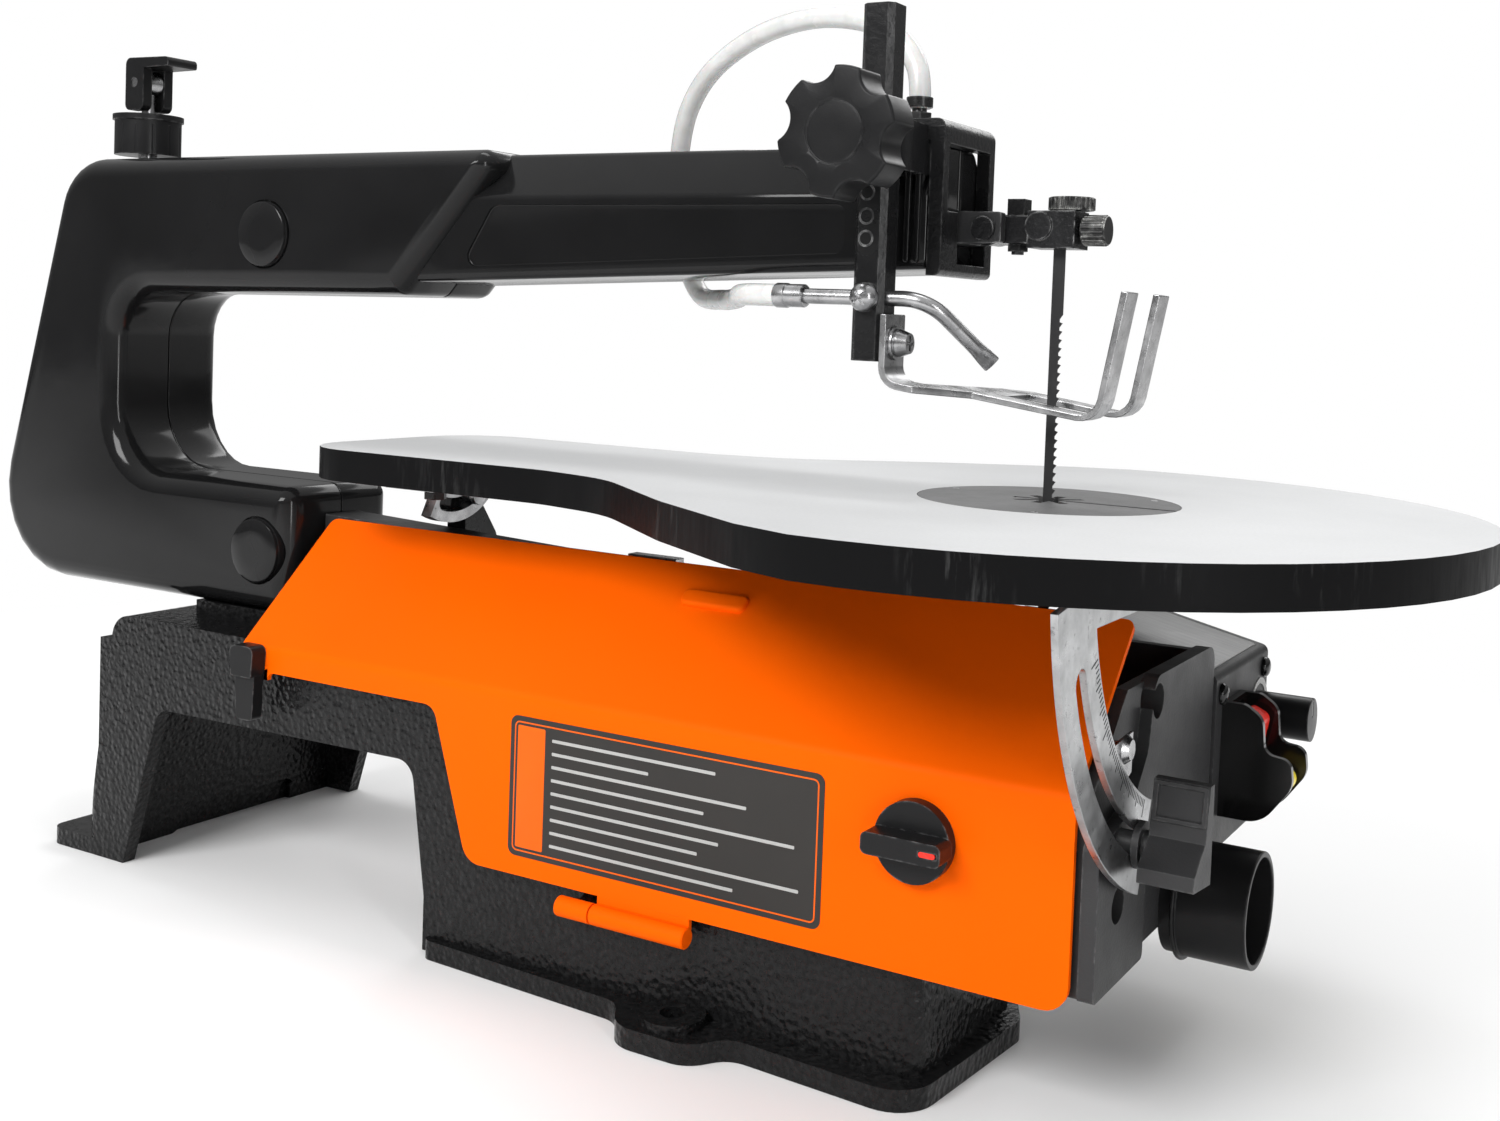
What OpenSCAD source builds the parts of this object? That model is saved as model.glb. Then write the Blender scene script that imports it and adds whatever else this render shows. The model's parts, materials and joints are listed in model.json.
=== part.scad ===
// Bench scroll saw with a tilting table, parallel arms and a hinged side cover.
// Origin: where the blade crosses the top face of the table.
// +X points to the front of the saw, +Y to the user's right, +Z up.

/* [Frame] */
// Height of the table's top face above the bench
bench_drop = 182; // [176:1:190]
// Distance from the blade back to the arm pivots
pivot_back = 330; // [326:1:334]
// Distance from the arm pivots back to the tension rod
tail_back = 109; // [107:1:111]
// Height of the upper arm pivot above the table
upper_pivot_z = 82; // [81:0.5:83]
// Height of the lower arm pivot, below the table
lower_pivot_z = -47.5; // [-48:0.5:-47]
// Half thickness of the rear housing
housing_half = 30; // [29:0.5:31]
// Half thickness of the front arm housing
nose_half = 24; // [23:0.5:25]
// Wall thickness of the castings
wall = 5; // [4:0.5:5.5]

/* [Table] */
// Diameter of the round front end of the table
table_d = 279; // [270:1:285]
// Half width of the narrow rear end of the table
table_tail_half = 54; // [52:1:56]
// Distance from the blade to the rear end of the table
table_rear = 288; // [285:1:291]
// Depth of the rim below the table's top face
rim_h = 12; // [11:0.5:12.5]
// Thickness of the table's plate inside the rim
plate_h = 6.5; // [6:0.5:7]
// Diameter of the round table insert
insert_d = 84; // [80:1:90]

/* [Mechanism] */
// Length of travel of the blade
stroke = 14.3; // [12:0.1:15]
// Diameter of the two arm pivot pins
pivot_pin_d = 12; // [11:0.5:13]
// Distance from the arm pivots forward to the connecting rod
rod_forward = 165; // [160:1:170]
// Height of the motor shaft, below the table
shaft_z = -120; // [-122:1:-118]
// Outside diameter of the motor
motor_d = 80; // [70:1:82]
// Outside diameter of the dust port
port_d = 38; // [36:0.5:40]
// Diameter of the holes for bench bolts
bench_hole_d = 8.5; // [6:0.5:9]

/* [Hidden] */

$fn = 64;
gap = 0.05; // running clearance on the radius
bench_z = -bench_drop;
pivot_x = -pivot_back;
tail_x = pivot_x - tail_back;
swing_x = -23; // hinge pins of the blade holders
holder_rise = 5; // holder pins sit this much above their arm's pivot
pin_r = pivot_pin_d / 2;
crank_e = stroke / 2 * rod_forward / pivot_back;
rod_x = pivot_x + rod_forward;
rod_top_z = -50;
side_y = -60; // outer face of the side cover
face_x = 42; // front face of the front housing

// ---------- shape helpers ----------

// a slab of an X-Z outline between two Y values
module along_y(y0, y1) {
  translate([0, y1, 0]) rotate([90, 0, 0]) linear_extrude(y1 - y0) children();
}

// a bar of a Y-Z outline between two X values
module along_x(x0, x1) {
  translate([x0, 0, 0]) rotate([90, 0, 90]) linear_extrude(x1 - x0) children();
}

// a plate of an X-Y outline between two heights
module along_z(z0, z1) {
  translate([0, 0, z0]) linear_extrude(z1 - z0) children();
}

module bar_x(x0, x1, y, z, d) {
  translate([x0, y, z]) rotate([0, 90, 0]) cylinder(h = x1 - x0, d = d);
}

module bar_y(x, y0, y1, z, d) {
  translate([x, y1, z]) rotate([90, 0, 0]) cylinder(h = y1 - y0, d = d);
}

module bar_z(x, y, z0, z1, d) {
  translate([x, y, z0]) cylinder(h = z1 - z0, d = d);
}

module block(low, high) {
  translate(low) cube(high - low);
}

function unit(v) = v / norm(v);
function flat(p) = [p[0], p[1]];
function turn(a) = a > 180 ? a - 360 : a < -180 ? a + 360 : a;

// one corner of an outline, [x, y, radius], as points on its fillet
function corner(a, b, c, steps) =
  b[2] == 0 ? [flat(b)] :
  let (u = unit(flat(a) - flat(b)), w = unit(flat(c) - flat(b)),
       half = acos(u * w) / 2,
       mid = flat(b) + unit(u + w) * b[2] / sin(half),
       p = flat(b) + u * b[2] / tan(half) - mid,
       q = flat(b) + w * b[2] / tan(half) - mid,
       a0 = atan2(p[1], p[0]), sweep = turn(atan2(q[1], q[0]) - a0))
  [for (k = [0:steps]) mid + b[2] * [cos(a0 + sweep * k / steps), sin(a0 + sweep * k / steps)]];

// an outline of [x, y, radius] corners as a list of points
function rounded(pts, steps = 8) =
  let (n = len(pts))
  [for (i = [0:n - 1]) each corner(pts[(i + n - 1) % n], pts[i], pts[(i + 1) % n], steps)];

function side(a, b) = let (u = unit(flat(b) - flat(a))) [-u[1], u[0]];
function bend(a, b, c) = let (u = flat(b) - flat(a), w = flat(c) - flat(b)) u[0] * w[1] - u[1] * w[0];

// the same outline moved inwards by d; corners run anticlockwise
function inset(pts, d) =
  let (n = len(pts))
  [for (i = [0:n - 1])
    let (a = pts[(i + n - 1) % n], b = pts[i], c = pts[(i + 1) % n],
         s = side(a, b), t = side(b, c), m = flat(b) + (s + t) * d / (1 + s * t),
         r = bend(a, b, c) > 0 ? max(b[2] - d, 0) : b[2] + d)
    [m[0], m[1], r]];

// ---------- frame and housings ----------

top_z = 115; // top of the rear housing
seat_z = -73; // underside of the rear housing, on the base
nose_end = -36.2; // front end of the front arm housing

// side outline of the rear housing, anticlockwise
rear_outline = [
  [-208, top_z, 4], [-457, top_z, 26], [-512, seat_z, 40], [-313, seat_z, 4],
  [-313, -20.5, 6], [-422, -20.5, 28], [-422, 57, 20], [-258, 59, 5]];

// side outline of the front arm housing, anticlockwise
nose_outline = [
  [nose_end, 114, 0], [-300, 114, 0], [-300, 62.5, 0], [nose_end, 73, 3]];

// end view of the front arm housing
nose_section = [
  [nose_half, 97, 3], [12, 114, 3], [-12, 114, 3], [-nose_half, 97, 3],
  [-nose_half, 55, 0], [nose_half, 55, 0]];

module housing_solid() {
  difference() {
    along_y(-housing_half, housing_half) polygon(rounded(rear_outline));
    for (s = [-1, 1]) // the sides step in along the slanted front edge
      along_y(s > 0 ? nose_half : -housing_half - 1, s > 0 ? housing_half + 1 : -nose_half)
        polygon([[-207, 116], [-259, 57.5], [-200, 57.5]]);
  }
  intersection() {
    along_y(-nose_half, nose_half) polygon(rounded(nose_outline));
    along_x(-301, nose_end) polygon(rounded(nose_section));
  }
}

module housing_hollow() {
  along_y(wall - housing_half, housing_half - wall) polygon(rounded(inset(rear_outline, wall)));
  along_y(-13, 13) polygon([[-320, 67.5], [-238, 67.3], [-25, 75.2], [-25, 108], [-320, 108]]);
  block([-330, -13, -67], [-300, 13, -27]);
  bar_z(tail_x, 0, 100, 120, 17);
  bar_z(bellows_x, 0, 80, 120, 2 * bellows_r + 3);
}

module pivot_seats() {
  for (z = [upper_pivot_z, lower_pivot_z])
    for (s = [-1, 1])
      bar_y(pivot_x, s > 0 ? 14 : 2 - housing_half, s > 0 ? housing_half - 2 : -14, z, 28);
}

module housing_bores() {
  for (z = [upper_pivot_z, lower_pivot_z]) {
    bar_y(pivot_x, -26, 26, z, pivot_pin_d + 0.04);
    for (s = [-1, 1])
      bar_y(pivot_x, s > 0 ? 27 : -31, s > 0 ? 31 : -27, z, 27);
  }
  for (p = housing_screw_spots) {
    bar_y(p[0], -screw_reach - 2, 40, p[1], 5.2);
    bar_y(p[0], housing_half - 3, 40, p[1], 9.4);
  }
}

// screws that join the two halves, entered from the right
housing_screw_spots = [[-462, 60], [-476, 0], [-470, -60], [-405, -67.5], [-262, 106]];
screw_reach = 14; // how far the screws reach past the joint into the left half

module housing_half_solid(s) {
  intersection() {
    difference() {
      union() {
        difference() {
          housing_solid();
          housing_hollow();
        }
        pivot_seats();
        for (p = housing_screw_spots)
          bar_y(p[0], wall - housing_half - 1, housing_half - wall + 1, p[1], 11);
      }
      housing_bores();
      if (s < 0) nose_panel();
    }
    block([-520, s > 0 ? 0 : -40, -80], [0, s > 0 ? 40 : 0, 130]);
  }
}

// shallow panel pressed into the left side of the front arm housing
module nose_panel() {
  along_y(-nose_half - 1, -nose_half + 1.2)
    polygon(rounded([[-66, 96, 3], [-212, 96, 3], [-228, 71, 3], [-66, 78, 3]]));
}

module housing_left() {
  color([0.13, 0.13, 0.14]) housing_half_solid(-1);
}

module housing_right() {
  color([0.13, 0.13, 0.14]) housing_half_solid(1);
}

module pivot_plugs() {
  color([0.1, 0.1, 0.1])
    for (z = [upper_pivot_z, lower_pivot_z])
      for (s = [-1, 1])
        bar_y(pivot_x, s > 0 ? 27.2 : -31, s > 0 ? 31 : -27.2, z, 26.8);
}

module housing_screws() {
  color([0.2, 0.2, 0.2])
    for (p = housing_screw_spots)
      difference() {
        union() {
          bar_y(p[0], -screw_reach, 27.3, p[1], 4.8);
          bar_y(p[0], 27.2, 30.5, p[1], 9);
        }
        bar_y(p[0], 28.5, 31, p[1], 4);
      }
}

module pivot_pins() {
  color([0.75, 0.76, 0.78])
    for (z = [upper_pivot_z, lower_pivot_z]) bar_y(pivot_x, -25.5, 25.5, z, pivot_pin_d);
}

// ---------- arms ----------

bush_wall = 3;
arm_half = 9;
tail_pin_r = 4;
fork_half = 14;

upper_arm_outline = [
  [-450, 92, 6], [-450, 72, 6], [-400, 69, 0], [pivot_x, 66, 0], [-238, 71.5, 0],
  [-122, 78.6, 0], [-17, 82.6, 1], [-17, 92.4, 1], [-122, 94, 0], [pivot_x, 98, 0]];

lower_arm_outline = [
  [-450, -37, 6], [-450, -58, 6], [pivot_x, -63, 0], [-200, -58, 0], [-60, -48.5, 0],
  [-17, -47.4, 1], [-17, -37.6, 1], [-200, -37, 0], [pivot_x, -32, 0]];

module arm(outline, pivot_z, pin_z) {
  difference() {
    union() {
      along_y(-arm_half, arm_half) polygon(rounded(outline, 4));
      bar_y(pivot_x, -12, 12, pivot_z, 30);
      for (s = [-1, 1])
        along_y(s > 0 ? arm_half - 1 : -fork_half, s > 0 ? fork_half : 1 - arm_half)
          polygon([[-450, pivot_z - 8], [-415, pivot_z - 8], [-415, pivot_z + 8], [-450, pivot_z + 8]]);
    }
    bar_y(pivot_x, -20, 20, pivot_z, 2 * (pin_r + bush_wall) + 0.04);
    bar_y(tail_x, -20, 20, pivot_z, 2 * (tail_pin_r + gap));
    block([-460, -7, pivot_z - 30], [-426, 7, pivot_z + 30]);
    bar_y(swing_x, -20, 20, pin_z, 2 * (2.5 + gap));
    block([-30, -5.2, pin_z - 20], [0, 5.2, pin_z + 20]);
  }
}

module upper_arm() {
  color([0.3, 0.3, 0.31]) arm(upper_arm_outline, upper_pivot_z, upper_pivot_z + holder_rise);
}

module lower_arm() {
  color([0.3, 0.3, 0.31])
    difference() {
      arm(lower_arm_outline, lower_pivot_z, lower_pivot_z + holder_rise);
      bar_y(rod_x, -20, 20, rod_top_z, 6.04);
    }
}

module bushes(z) {
  color([0.72, 0.52, 0.25])
    difference() {
      bar_y(pivot_x, -12.5, 12.5, z, 2 * (pin_r + bush_wall));
      bar_y(pivot_x, -20, 20, z, 2 * (pin_r + gap));
    }
}

module arm_bushes_upper() {
  bushes(upper_pivot_z);
}

module arm_bushes_lower() {
  bushes(lower_pivot_z);
}

// ---------- blade tension ----------

knob_low = 118.5;
lever_pin_z = 151;

module tension_rod() {
  color([0.7, 0.71, 0.72]) {
    bar_z(tail_x, 0, -60, 137, 8);
    bar_z(tail_x, 0, 136.9, 149, 6);
    for (z = [upper_pivot_z, lower_pivot_z]) {
      bar_y(tail_x, -15.5, 15.5, z, 2 * tail_pin_r);
      bar_z(tail_x, 0, z - 7, z + 7, 12);
    }
    bar_y(tail_x, -3, 3, lever_pin_z, 11.6);
    bar_y(tail_x, -7.8, 7.8, lever_pin_z, 4);
  }
}

module tension_knob() {
  color([0.12, 0.12, 0.12])
    difference() {
      union() {
        bar_z(tail_x, 0, knob_low, 134, 28.6);
        bar_z(tail_x, 0, 134, 136.5, 30.4);
      }
      bar_z(tail_x, 0, knob_low - 1, 140, 2 * (4 + gap));
      for (a = [0:30:330]) // shallow flutes for grip
        translate([tail_x, 0, knob_low - 1]) rotate([0, 0, a]) translate([15.6, 0, 0]) cylinder(h = 14.5, d = 3);
    }
}

// forked lever that slackens the blade when its front end is lifted
module cam_lever() {
  color([0.1, 0.1, 0.1])
    difference() {
      union() {
        for (y = [-8, 3.3])
          along_y(y, y + 4.7) polygon(rounded([
            [tail_x + 6, 158, 0], [tail_x - 6, 158, 0], [tail_x - 6, 138.5, 3], [tail_x + 6, 138.5, 3]]));
        along_y(-8, 8) polygon(rounded([
          [tail_x + 22, 157.5, 1], [tail_x + 22, 161.5, 2], [tail_x - 6, 162, 3], [tail_x - 6, 157.2, 1]]));
      }
      bar_y(tail_x, -20, 20, lever_pin_z, 2 * (2 + gap));
    }
}

// ---------- air blower ----------

bellows_x = -52;
bellows_low = 93.2;
bellows_high = 117.8;
bellows_r = 12.5;

module bellows() {
  pitch = (bellows_high - bellows_low - 1) / 4;
  color([0.09, 0.09, 0.1]) translate([bellows_x, 0, 0])
    rotate_extrude() polygon(concat(
      [[0, bellows_high], [0, bellows_low]],
      [for (k = [0:3]) each [[9.5, bellows_low + k * pitch], [bellows_r, bellows_low + (k + 0.5) * pitch]]],
      [[9.5, bellows_low + 4 * pitch], [9.5, bellows_high]]));
}

// raised cap over the bellows, with a frame across the front end of the arm housing
module bellows_cap() {
  color([0.12, 0.12, 0.13])
    difference() {
      union() {
        along_y(-cap_near, cap_far) polygon(rounded([
          [-31, 121.5, 4], [-71, 121.5, 1], [-71, 114.2, 0], [-36, 114.2, 0], [-36, 71, 0], [-31, 71, 2]]));
        bar_z(bellows_x, 0, 121, 123, 24);
      }
      bar_z(bellows_x, 0, 110, 117.9, 2 * bellows_r + 1);
      block([-40, 4 - cap_near, 92], [-30, cap_far - 4, 113.4]);
      block([-40, -11.5, 75.2], [-30, 11.5, 103]);
      along_x(-80, -20) polygon([[4 - cap_near, 125], [-cap_near - 1, 125], [-cap_near - 1, 117]]);
      bar_z(bellows_x, 0, 117, 130, 5.1);
    }
}

cap_near = 24;
cap_far = 17;

module hose_nipple() {
  color([0.15, 0.15, 0.15])
    difference() {
      union() {
        bar_z(bellows_x, 0, 118, 124, 5);
        translate([bellows_x, 0, 123.2]) cylinder(h = 3, d = 9, $fn = 6);
        bar_z(bellows_x, 0, 126, 128, 5);
        bar_z(bellows_x, 0, 127.9, 131.4, 9);
      }
      bar_z(bellows_x, 0, 117, 132, 2.4);
    }
}

nozzle_z = 63;
rod_px = -47; // centre of the hold-down rod
rod_py = -38;

hose_d = 7.5;
// knots of the air hose, from the nipple over and behind the arm to the nozzle
hose_knots = [
  [bellows_x, 0, 122], [bellows_x, 0, 133], [-54.5, 1, 143], [-62.5, 2, 152.5], [-76, 4, 159],
  [-98, 8, 162], [-124, 14, 158.5], [-147, 20, 148.5], [-161, 25, 135], [-167, 28, 118],
  [-168, 30, 98], [-165, 30, 79], [-154, 26, 63.5], [-133, 9, 61.5], [-114, -12, 62],
  [-100, -31, 63], [-83.5, rod_py, nozzle_z], [-70, rod_py, nozzle_z]];

// a point between knots b and c on a smooth curve through a, b, c and d
function spline(a, b, c, d, t) =
  b + ((c - a) * t + (2 * a - 5 * b + 4 * c - d) * t * t + (3 * b - a - 3 * c + d) * t * t * t) / 2;

hose_path = concat(
  [[bellows_x, 0, 131.5]],
  [for (i = [1:len(hose_knots) - 3], t = [0:0.34:0.7])
    spline(hose_knots[i - 1], hose_knots[i], hose_knots[i + 1], hose_knots[i + 2], t)],
  [for (x = [-83.5, -80.2]) [x, rod_py, nozzle_z]]);

// a round solid of radius r along a list of points
module swept(path, r, n) {
  last = len(path) - 1;
  rings = [for (i = [0:last])
    let (d = unit(path[min(i + 1, last)] - path[max(i - 1, 0)]),
         u = unit(cross(d, [0.3, 1, 0.1])), w = cross(d, u))
    each [for (k = [0:n - 1]) path[i] + r * (cos(360 * k / n) * u + sin(360 * k / n) * w)]];
  walls = [for (i = [0:last - 1], k = [0:n - 1])
    each [[i * n + k, (i + 1) * n + k, (i + 1) * n + (k + 1) % n],
          [i * n + k, (i + 1) * n + (k + 1) % n, i * n + (k + 1) % n]]];
  start_cap = [[for (k = [0:n - 1]) k]];
  end_cap = [[for (k = [n - 1:-1:0]) last * n + k]];
  polyhedron(rings, concat(walls, start_cap, end_cap));
}

module air_hose() {
  color([0.9, 0.9, 0.88]) swept(hose_path, hose_d / 2, 14);
}

// ---------- hold-down ----------

rod_w = 11;
rod_low = 43;
rod_high = 155;
clamp_low = 103;
clamp_high = 119;
knob_z = 112;

module rod_clamp() {
  color([0.13, 0.13, 0.13])
    difference() {
      union() {
        along_z(clamp_low, clamp_high) polygon(rounded([
          [-37, -19.5, 0], [-57, -19.5, 0], [-57, -47, 8], [-37, -47, 8]], 10));
        bar_y(rod_px, -52, -40, knob_z, 14);
      }
      block([-60, -nose_half - 0.05, 90], [-30, -15, 97.6]);
      nose_clear();
      block([-72, -cap_near - 0.1, 114.1], [-30, 0, 122]);
      block([rod_px - rod_w / 2 - gap, rod_py - rod_w / 2 - gap, 90],
            [rod_px + rod_w / 2 + gap, rod_py + rod_w / 2 + gap, 125]);
      bar_y(rod_px, -60, -40, knob_z, 6.1);
    }
}

module nose_clear() {
  along_x(-70, -25) polygon([[-nose_half - 0.05, 90], [-nose_half - 0.05, 97.2], [-12, 114.2], [-12, 130], [0, 130], [0, 90]]);
}

module hold_down_rod() {
  color([0.14, 0.14, 0.14])
    difference() {
      along_z(rod_low, rod_high) polygon(rounded([
        [rod_px + rod_w / 2, rod_py + rod_w / 2, 1.8], [rod_px - rod_w / 2, rod_py + rod_w / 2, 1.8],
        [rod_px - rod_w / 2, rod_py - rod_w / 2, 1.8], [rod_px + rod_w / 2, rod_py - rod_w / 2, 1.8]], 1));
      bar_x(rod_px - 10, rod_px + 10, rod_py, nozzle_z, 2 * (2.5 + gap));
      bar_y(rod_px, -50, rod_py - 2.6, nozzle_z, 4.04);
      bar_x(rod_px - 2, rod_px + 10, rod_py, foot_z, 4.04);
    }
}

// six lobes with hollow scoops between them
module hold_down_knob() {
  color([0.1, 0.1, 0.1]) {
    translate([rod_px, -54, knob_z]) rotate([90, 0, 0])
      difference() {
        cylinder(h = 15, r = 20.1);
        for (a = [38:60:338]) rotate([0, 0, a]) translate([23.6, 0, -1]) cylinder(h = 17, r = 7.5);
      }
    bar_y(rod_px, -54.1, -52.2, knob_z, 12);
    bar_y(rod_px, -53, rod_py - rod_w / 2 - 0.1, knob_z, 6);
  }
}

foot_z = 49;
foot_x = rod_px + rod_w / 2 + 0.3; // rear face of the upright tab
strip = 2.2;
fork_y = -3; // middle of the fork
fork_out = 21;
fork_in = 10.5;

// side outline of the bent foot strip
foot_outline = rounded([
  [foot_x, 58, 0], [foot_x, 35.4, 7], [23.8, 26.4, 8], [29 + strip, 67.2, 0], [29, 67.5, 0],
  [22, 28.6, 6], [foot_x + strip, 37.5, 5], [foot_x + strip, 58, 0]], 5);

// plan of the foot: tab at the rod, slanted arm, fork round the blade
foot_plan = [
  [foot_x - 1, rod_py - 7], [foot_x + 12, rod_py - 7], [-18, fork_y - fork_out],
  [40, fork_y - fork_out], [40, fork_y - fork_in], [-11, fork_y - fork_in], [-11, fork_y + fork_in],
  [40, fork_y + fork_in], [40, fork_y + fork_out], [-14, fork_y + fork_out],
  [-21, fork_y + fork_in], [foot_x + 9, rod_py + 7], [foot_x - 1, rod_py + 7]];

module work_foot() {
  color([0.75, 0.76, 0.77])
    difference() {
      intersection() {
        along_y(-60, 20) polygon(foot_outline);
        along_z(20, 70) polygon(foot_plan);
      }
      bar_x(foot_x - 5, foot_x + 5, rod_py, foot_z, 2 * (2 + gap));
    }
}

module foot_screw() {
  color([0.8, 0.8, 0.8])
    difference() {
      union() {
        bar_x(rod_px - 1, foot_x + strip + 1, rod_py, foot_z, 4);
        bar_x(foot_x + strip + 0.1, foot_x + strip + 1.2, rod_py, foot_z, 11);
        bar_x(foot_x + strip + 1.1, foot_x + strip + 2, rod_py, foot_z, 8.5);
        translate([foot_x + strip + 1.9, rod_py, foot_z]) rotate([0, 90, 0]) cylinder(h = 3.4, d1 = 9, d2 = 6.5);
      }
      block([foot_x + strip + 4.2, rod_py - 0.6, foot_z - 2.4], [foot_x + 10, rod_py + 0.6, foot_z + 2.4]);
      block([foot_x + strip + 4.2, rod_py - 2.4, foot_z - 0.6], [foot_x + 10, rod_py + 2.4, foot_z + 0.6]);
    }
}

tube_r = 2.5;
nozzle_bend_r = 14;
nozzle_bend = 64;
nozzle_turn = 46; // how far the bend leans from straight down towards the blade
nozzle_tip = 23;

module air_nozzle() {
  x = rod_px + 10; // where the bend starts
  lap = 0.6; // each stage starts just inside the one before
  color([0.78, 0.79, 0.8]) {
    difference() {
      bar_x(-80, x + lap, rod_py, nozzle_z, 2 * tube_r);
      bar_x(-90, -60, rod_py, nozzle_z, 2.6);
    }
    translate([x, rod_py, nozzle_z]) rotate([nozzle_turn, 0, 0]) translate([0, 0, -nozzle_bend_r]) {
      rotate([-90, -90, 0]) rotate_extrude(angle = nozzle_bend)
        translate([nozzle_bend_r, 0]) circle(tube_r - 0.04);
      rotate([0, nozzle_bend, 0]) translate([-lap, 0, nozzle_bend_r]) rotate([0, 90, 0])
        cylinder(h = nozzle_tip, r = tube_r - 0.08);
    }
  }
}

module nozzle_screw() {
  color([0.8, 0.8, 0.8]) {
    bar_y(rod_px, rod_py - rod_w / 2 - 2, rod_py - 2.7, nozzle_z, 4);
    translate([rod_px, rod_py - rod_w / 2 - 3.2, nozzle_z])
      intersection() {
        sphere(d = 9.5);
        block([-6, -6, -6], [6, 3, 6]);
      }
  }
}

// ---------- blade and holders ----------

upper_pin_z = upper_pivot_z + holder_rise;
lower_pin_z = lower_pivot_z + holder_rise;

module blade() {
  color([0.1, 0.1, 0.1]) block([-2, -0.3, -44], [2, 0.3, 83]);
}

// a blade holder; s is 1 for the upper one and -1 for the lower one
module holder(pin_z, s) {
  difference() {
    union() {
      block([swing_x - 1, -4.9, pin_z - 4.5], [-8, 4.9, pin_z + 4.5]);
      bar_y(swing_x, -4.9, 4.9, pin_z, 10.4);
      bar_y(swing_x, -10.5, 10.5, pin_z, 5);
      for (y = [-10.5, 9.3]) bar_y(swing_x, y, y + 1.2, pin_z, 8);
      block([-9, -6.5, pin_z - 6], [7, 6.5, pin_z + 6]);
      bar_y(-5, -7.6, 7.6, pin_z + 1, 9);
    }
    block([-2.6, -0.4, s > 0 ? pin_z - 7 : pin_z - 2], [2.6, 0.4, s > 0 ? pin_z - 3.9 : pin_z + 7]);
    bar_z(-14.5, 0, pin_z - 12, pin_z + 12, 4.1);
    bar_x(2.7, 20, 0, pin_z, 2 * (2.2 + gap));
    if (s > 0) bar_z(3.4, 0, pin_z + 3.4, pin_z + 12, 2 * (1.5 + gap));
  }
}

module upper_holder() {
  color([0.2, 0.2, 0.2]) holder(upper_pin_z, 1);
}

module lower_holder() {
  color([0.2, 0.2, 0.2]) holder(lower_pin_z, -1);
}

module holder_bolts() {
  color([0.15, 0.15, 0.15])
    for (s = [1, -1])
      let (z = s > 0 ? upper_pin_z : lower_pin_z) {
        bar_z(-14.5, 0, z - 8, z + 6, 4);
        block([-17.5, -3, z + 4.6], [-11.5, 3, z + (s > 0 ? 10 : 7.5)]);
        translate([-14.5, 0, z - 7]) cylinder(h = 2.4, d = 7, $fn = 6);
      }
}

// knurled clamp screw, along X
module clamp_screw(z) {
  color([0.22, 0.22, 0.22]) {
    bar_x(3, 9, 0, z, 4.4);
    translate([8, 0, z]) rotate([0, 90, 0]) union() {
      cylinder(h = 8, d = 9);
      for (a = [0:20:340]) rotate([0, 0, a]) translate([4.5, 0, 0.5]) cylinder(h = 7, d = 1, $fn = 16);
    }
  }
}

module upper_clamp_screw() {
  clamp_screw(upper_pin_z);
}

module lower_clamp_screw() {
  clamp_screw(lower_pin_z);
}

module blade_wheel() {
  color([0.5, 0.5, 0.5])
    translate([3.4, 0, upper_pin_z]) {
      difference() {
        union() {
          translate([0, 0, 6.3]) cylinder(h = 4.2, d = 14);
          for (a = [0:15:345]) rotate([0, 0, a]) translate([7, 0, 6.5]) cylinder(h = 3.8, d = 1, $fn = 16);
        }
        translate([0, 0, 9.2]) cylinder(h = 2, d = 9);
      }
      translate([0, 0, 3.6]) cylinder(h = 3, d = 3);
    }
}

// ---------- motor and drive ----------

motor_y0 = 26;
motor_y1 = 74;
rod_y0 = 9.6;
rod_y1 = 15.6;

module motor_can() {
  color([0.25, 0.25, 0.27])
    difference() {
      bar_y(rod_x, motor_y0, motor_y1 - 4, shaft_z, motor_d);
      bar_y(rod_x, motor_y0 - 1, motor_y1, shaft_z, motor_d - 6);
    }
}

module motor_caps() {
  color([0.5, 0.5, 0.52])
    difference() {
      union() {
        bar_y(rod_x, motor_y0 - 3, motor_y0, shaft_z, motor_d);
        bar_y(rod_x, motor_y0 - 0.5, motor_y0 + 4, shaft_z, motor_d - 6.2);
        bar_y(rod_x, motor_y1 - 4, motor_y1 - 1, shaft_z, motor_d);
        bar_y(rod_x, motor_y1 - 8, motor_y1 - 3.5, shaft_z, motor_d - 6.2);
      }
      bar_y(rod_x, motor_y0 - 4, motor_y1 + 4, shaft_z, 2 * (5 + gap));
      bar_y(rod_x, motor_y0 + 4, motor_y1 - 8, shaft_z, motor_d);
      for (a = [0:60:300])
        translate([rod_x, 0, shaft_z]) rotate([0, a, 0]) bar_y(23, motor_y0 - 4, motor_y1 + 4, 0, 12);
    }
}

module motor_rotor() {
  color([0.6, 0.6, 0.62]) {
    bar_y(rod_x, 17, motor_y1 + 1, shaft_z, 10);
    bar_y(rod_x, motor_y0 + 8, motor_y1 - 12, shaft_z, 46);
  }
}

module eccentric() {
  color([0.55, 0.55, 0.57])
    difference() {
      union() {
        bar_y(rod_x, rod_y1 + 0.6, motor_y0 - 3.6, shaft_z, 30);
        bar_y(rod_x + crank_e, rod_y0 - 1.6, rod_y1 + 1, shaft_z, 6);
      }
      bar_y(rod_x, 16.9, motor_y0, shaft_z, 10.02);
      bar_y(rod_x - 9, 10, 30, shaft_z, 8);
    }
}

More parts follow.
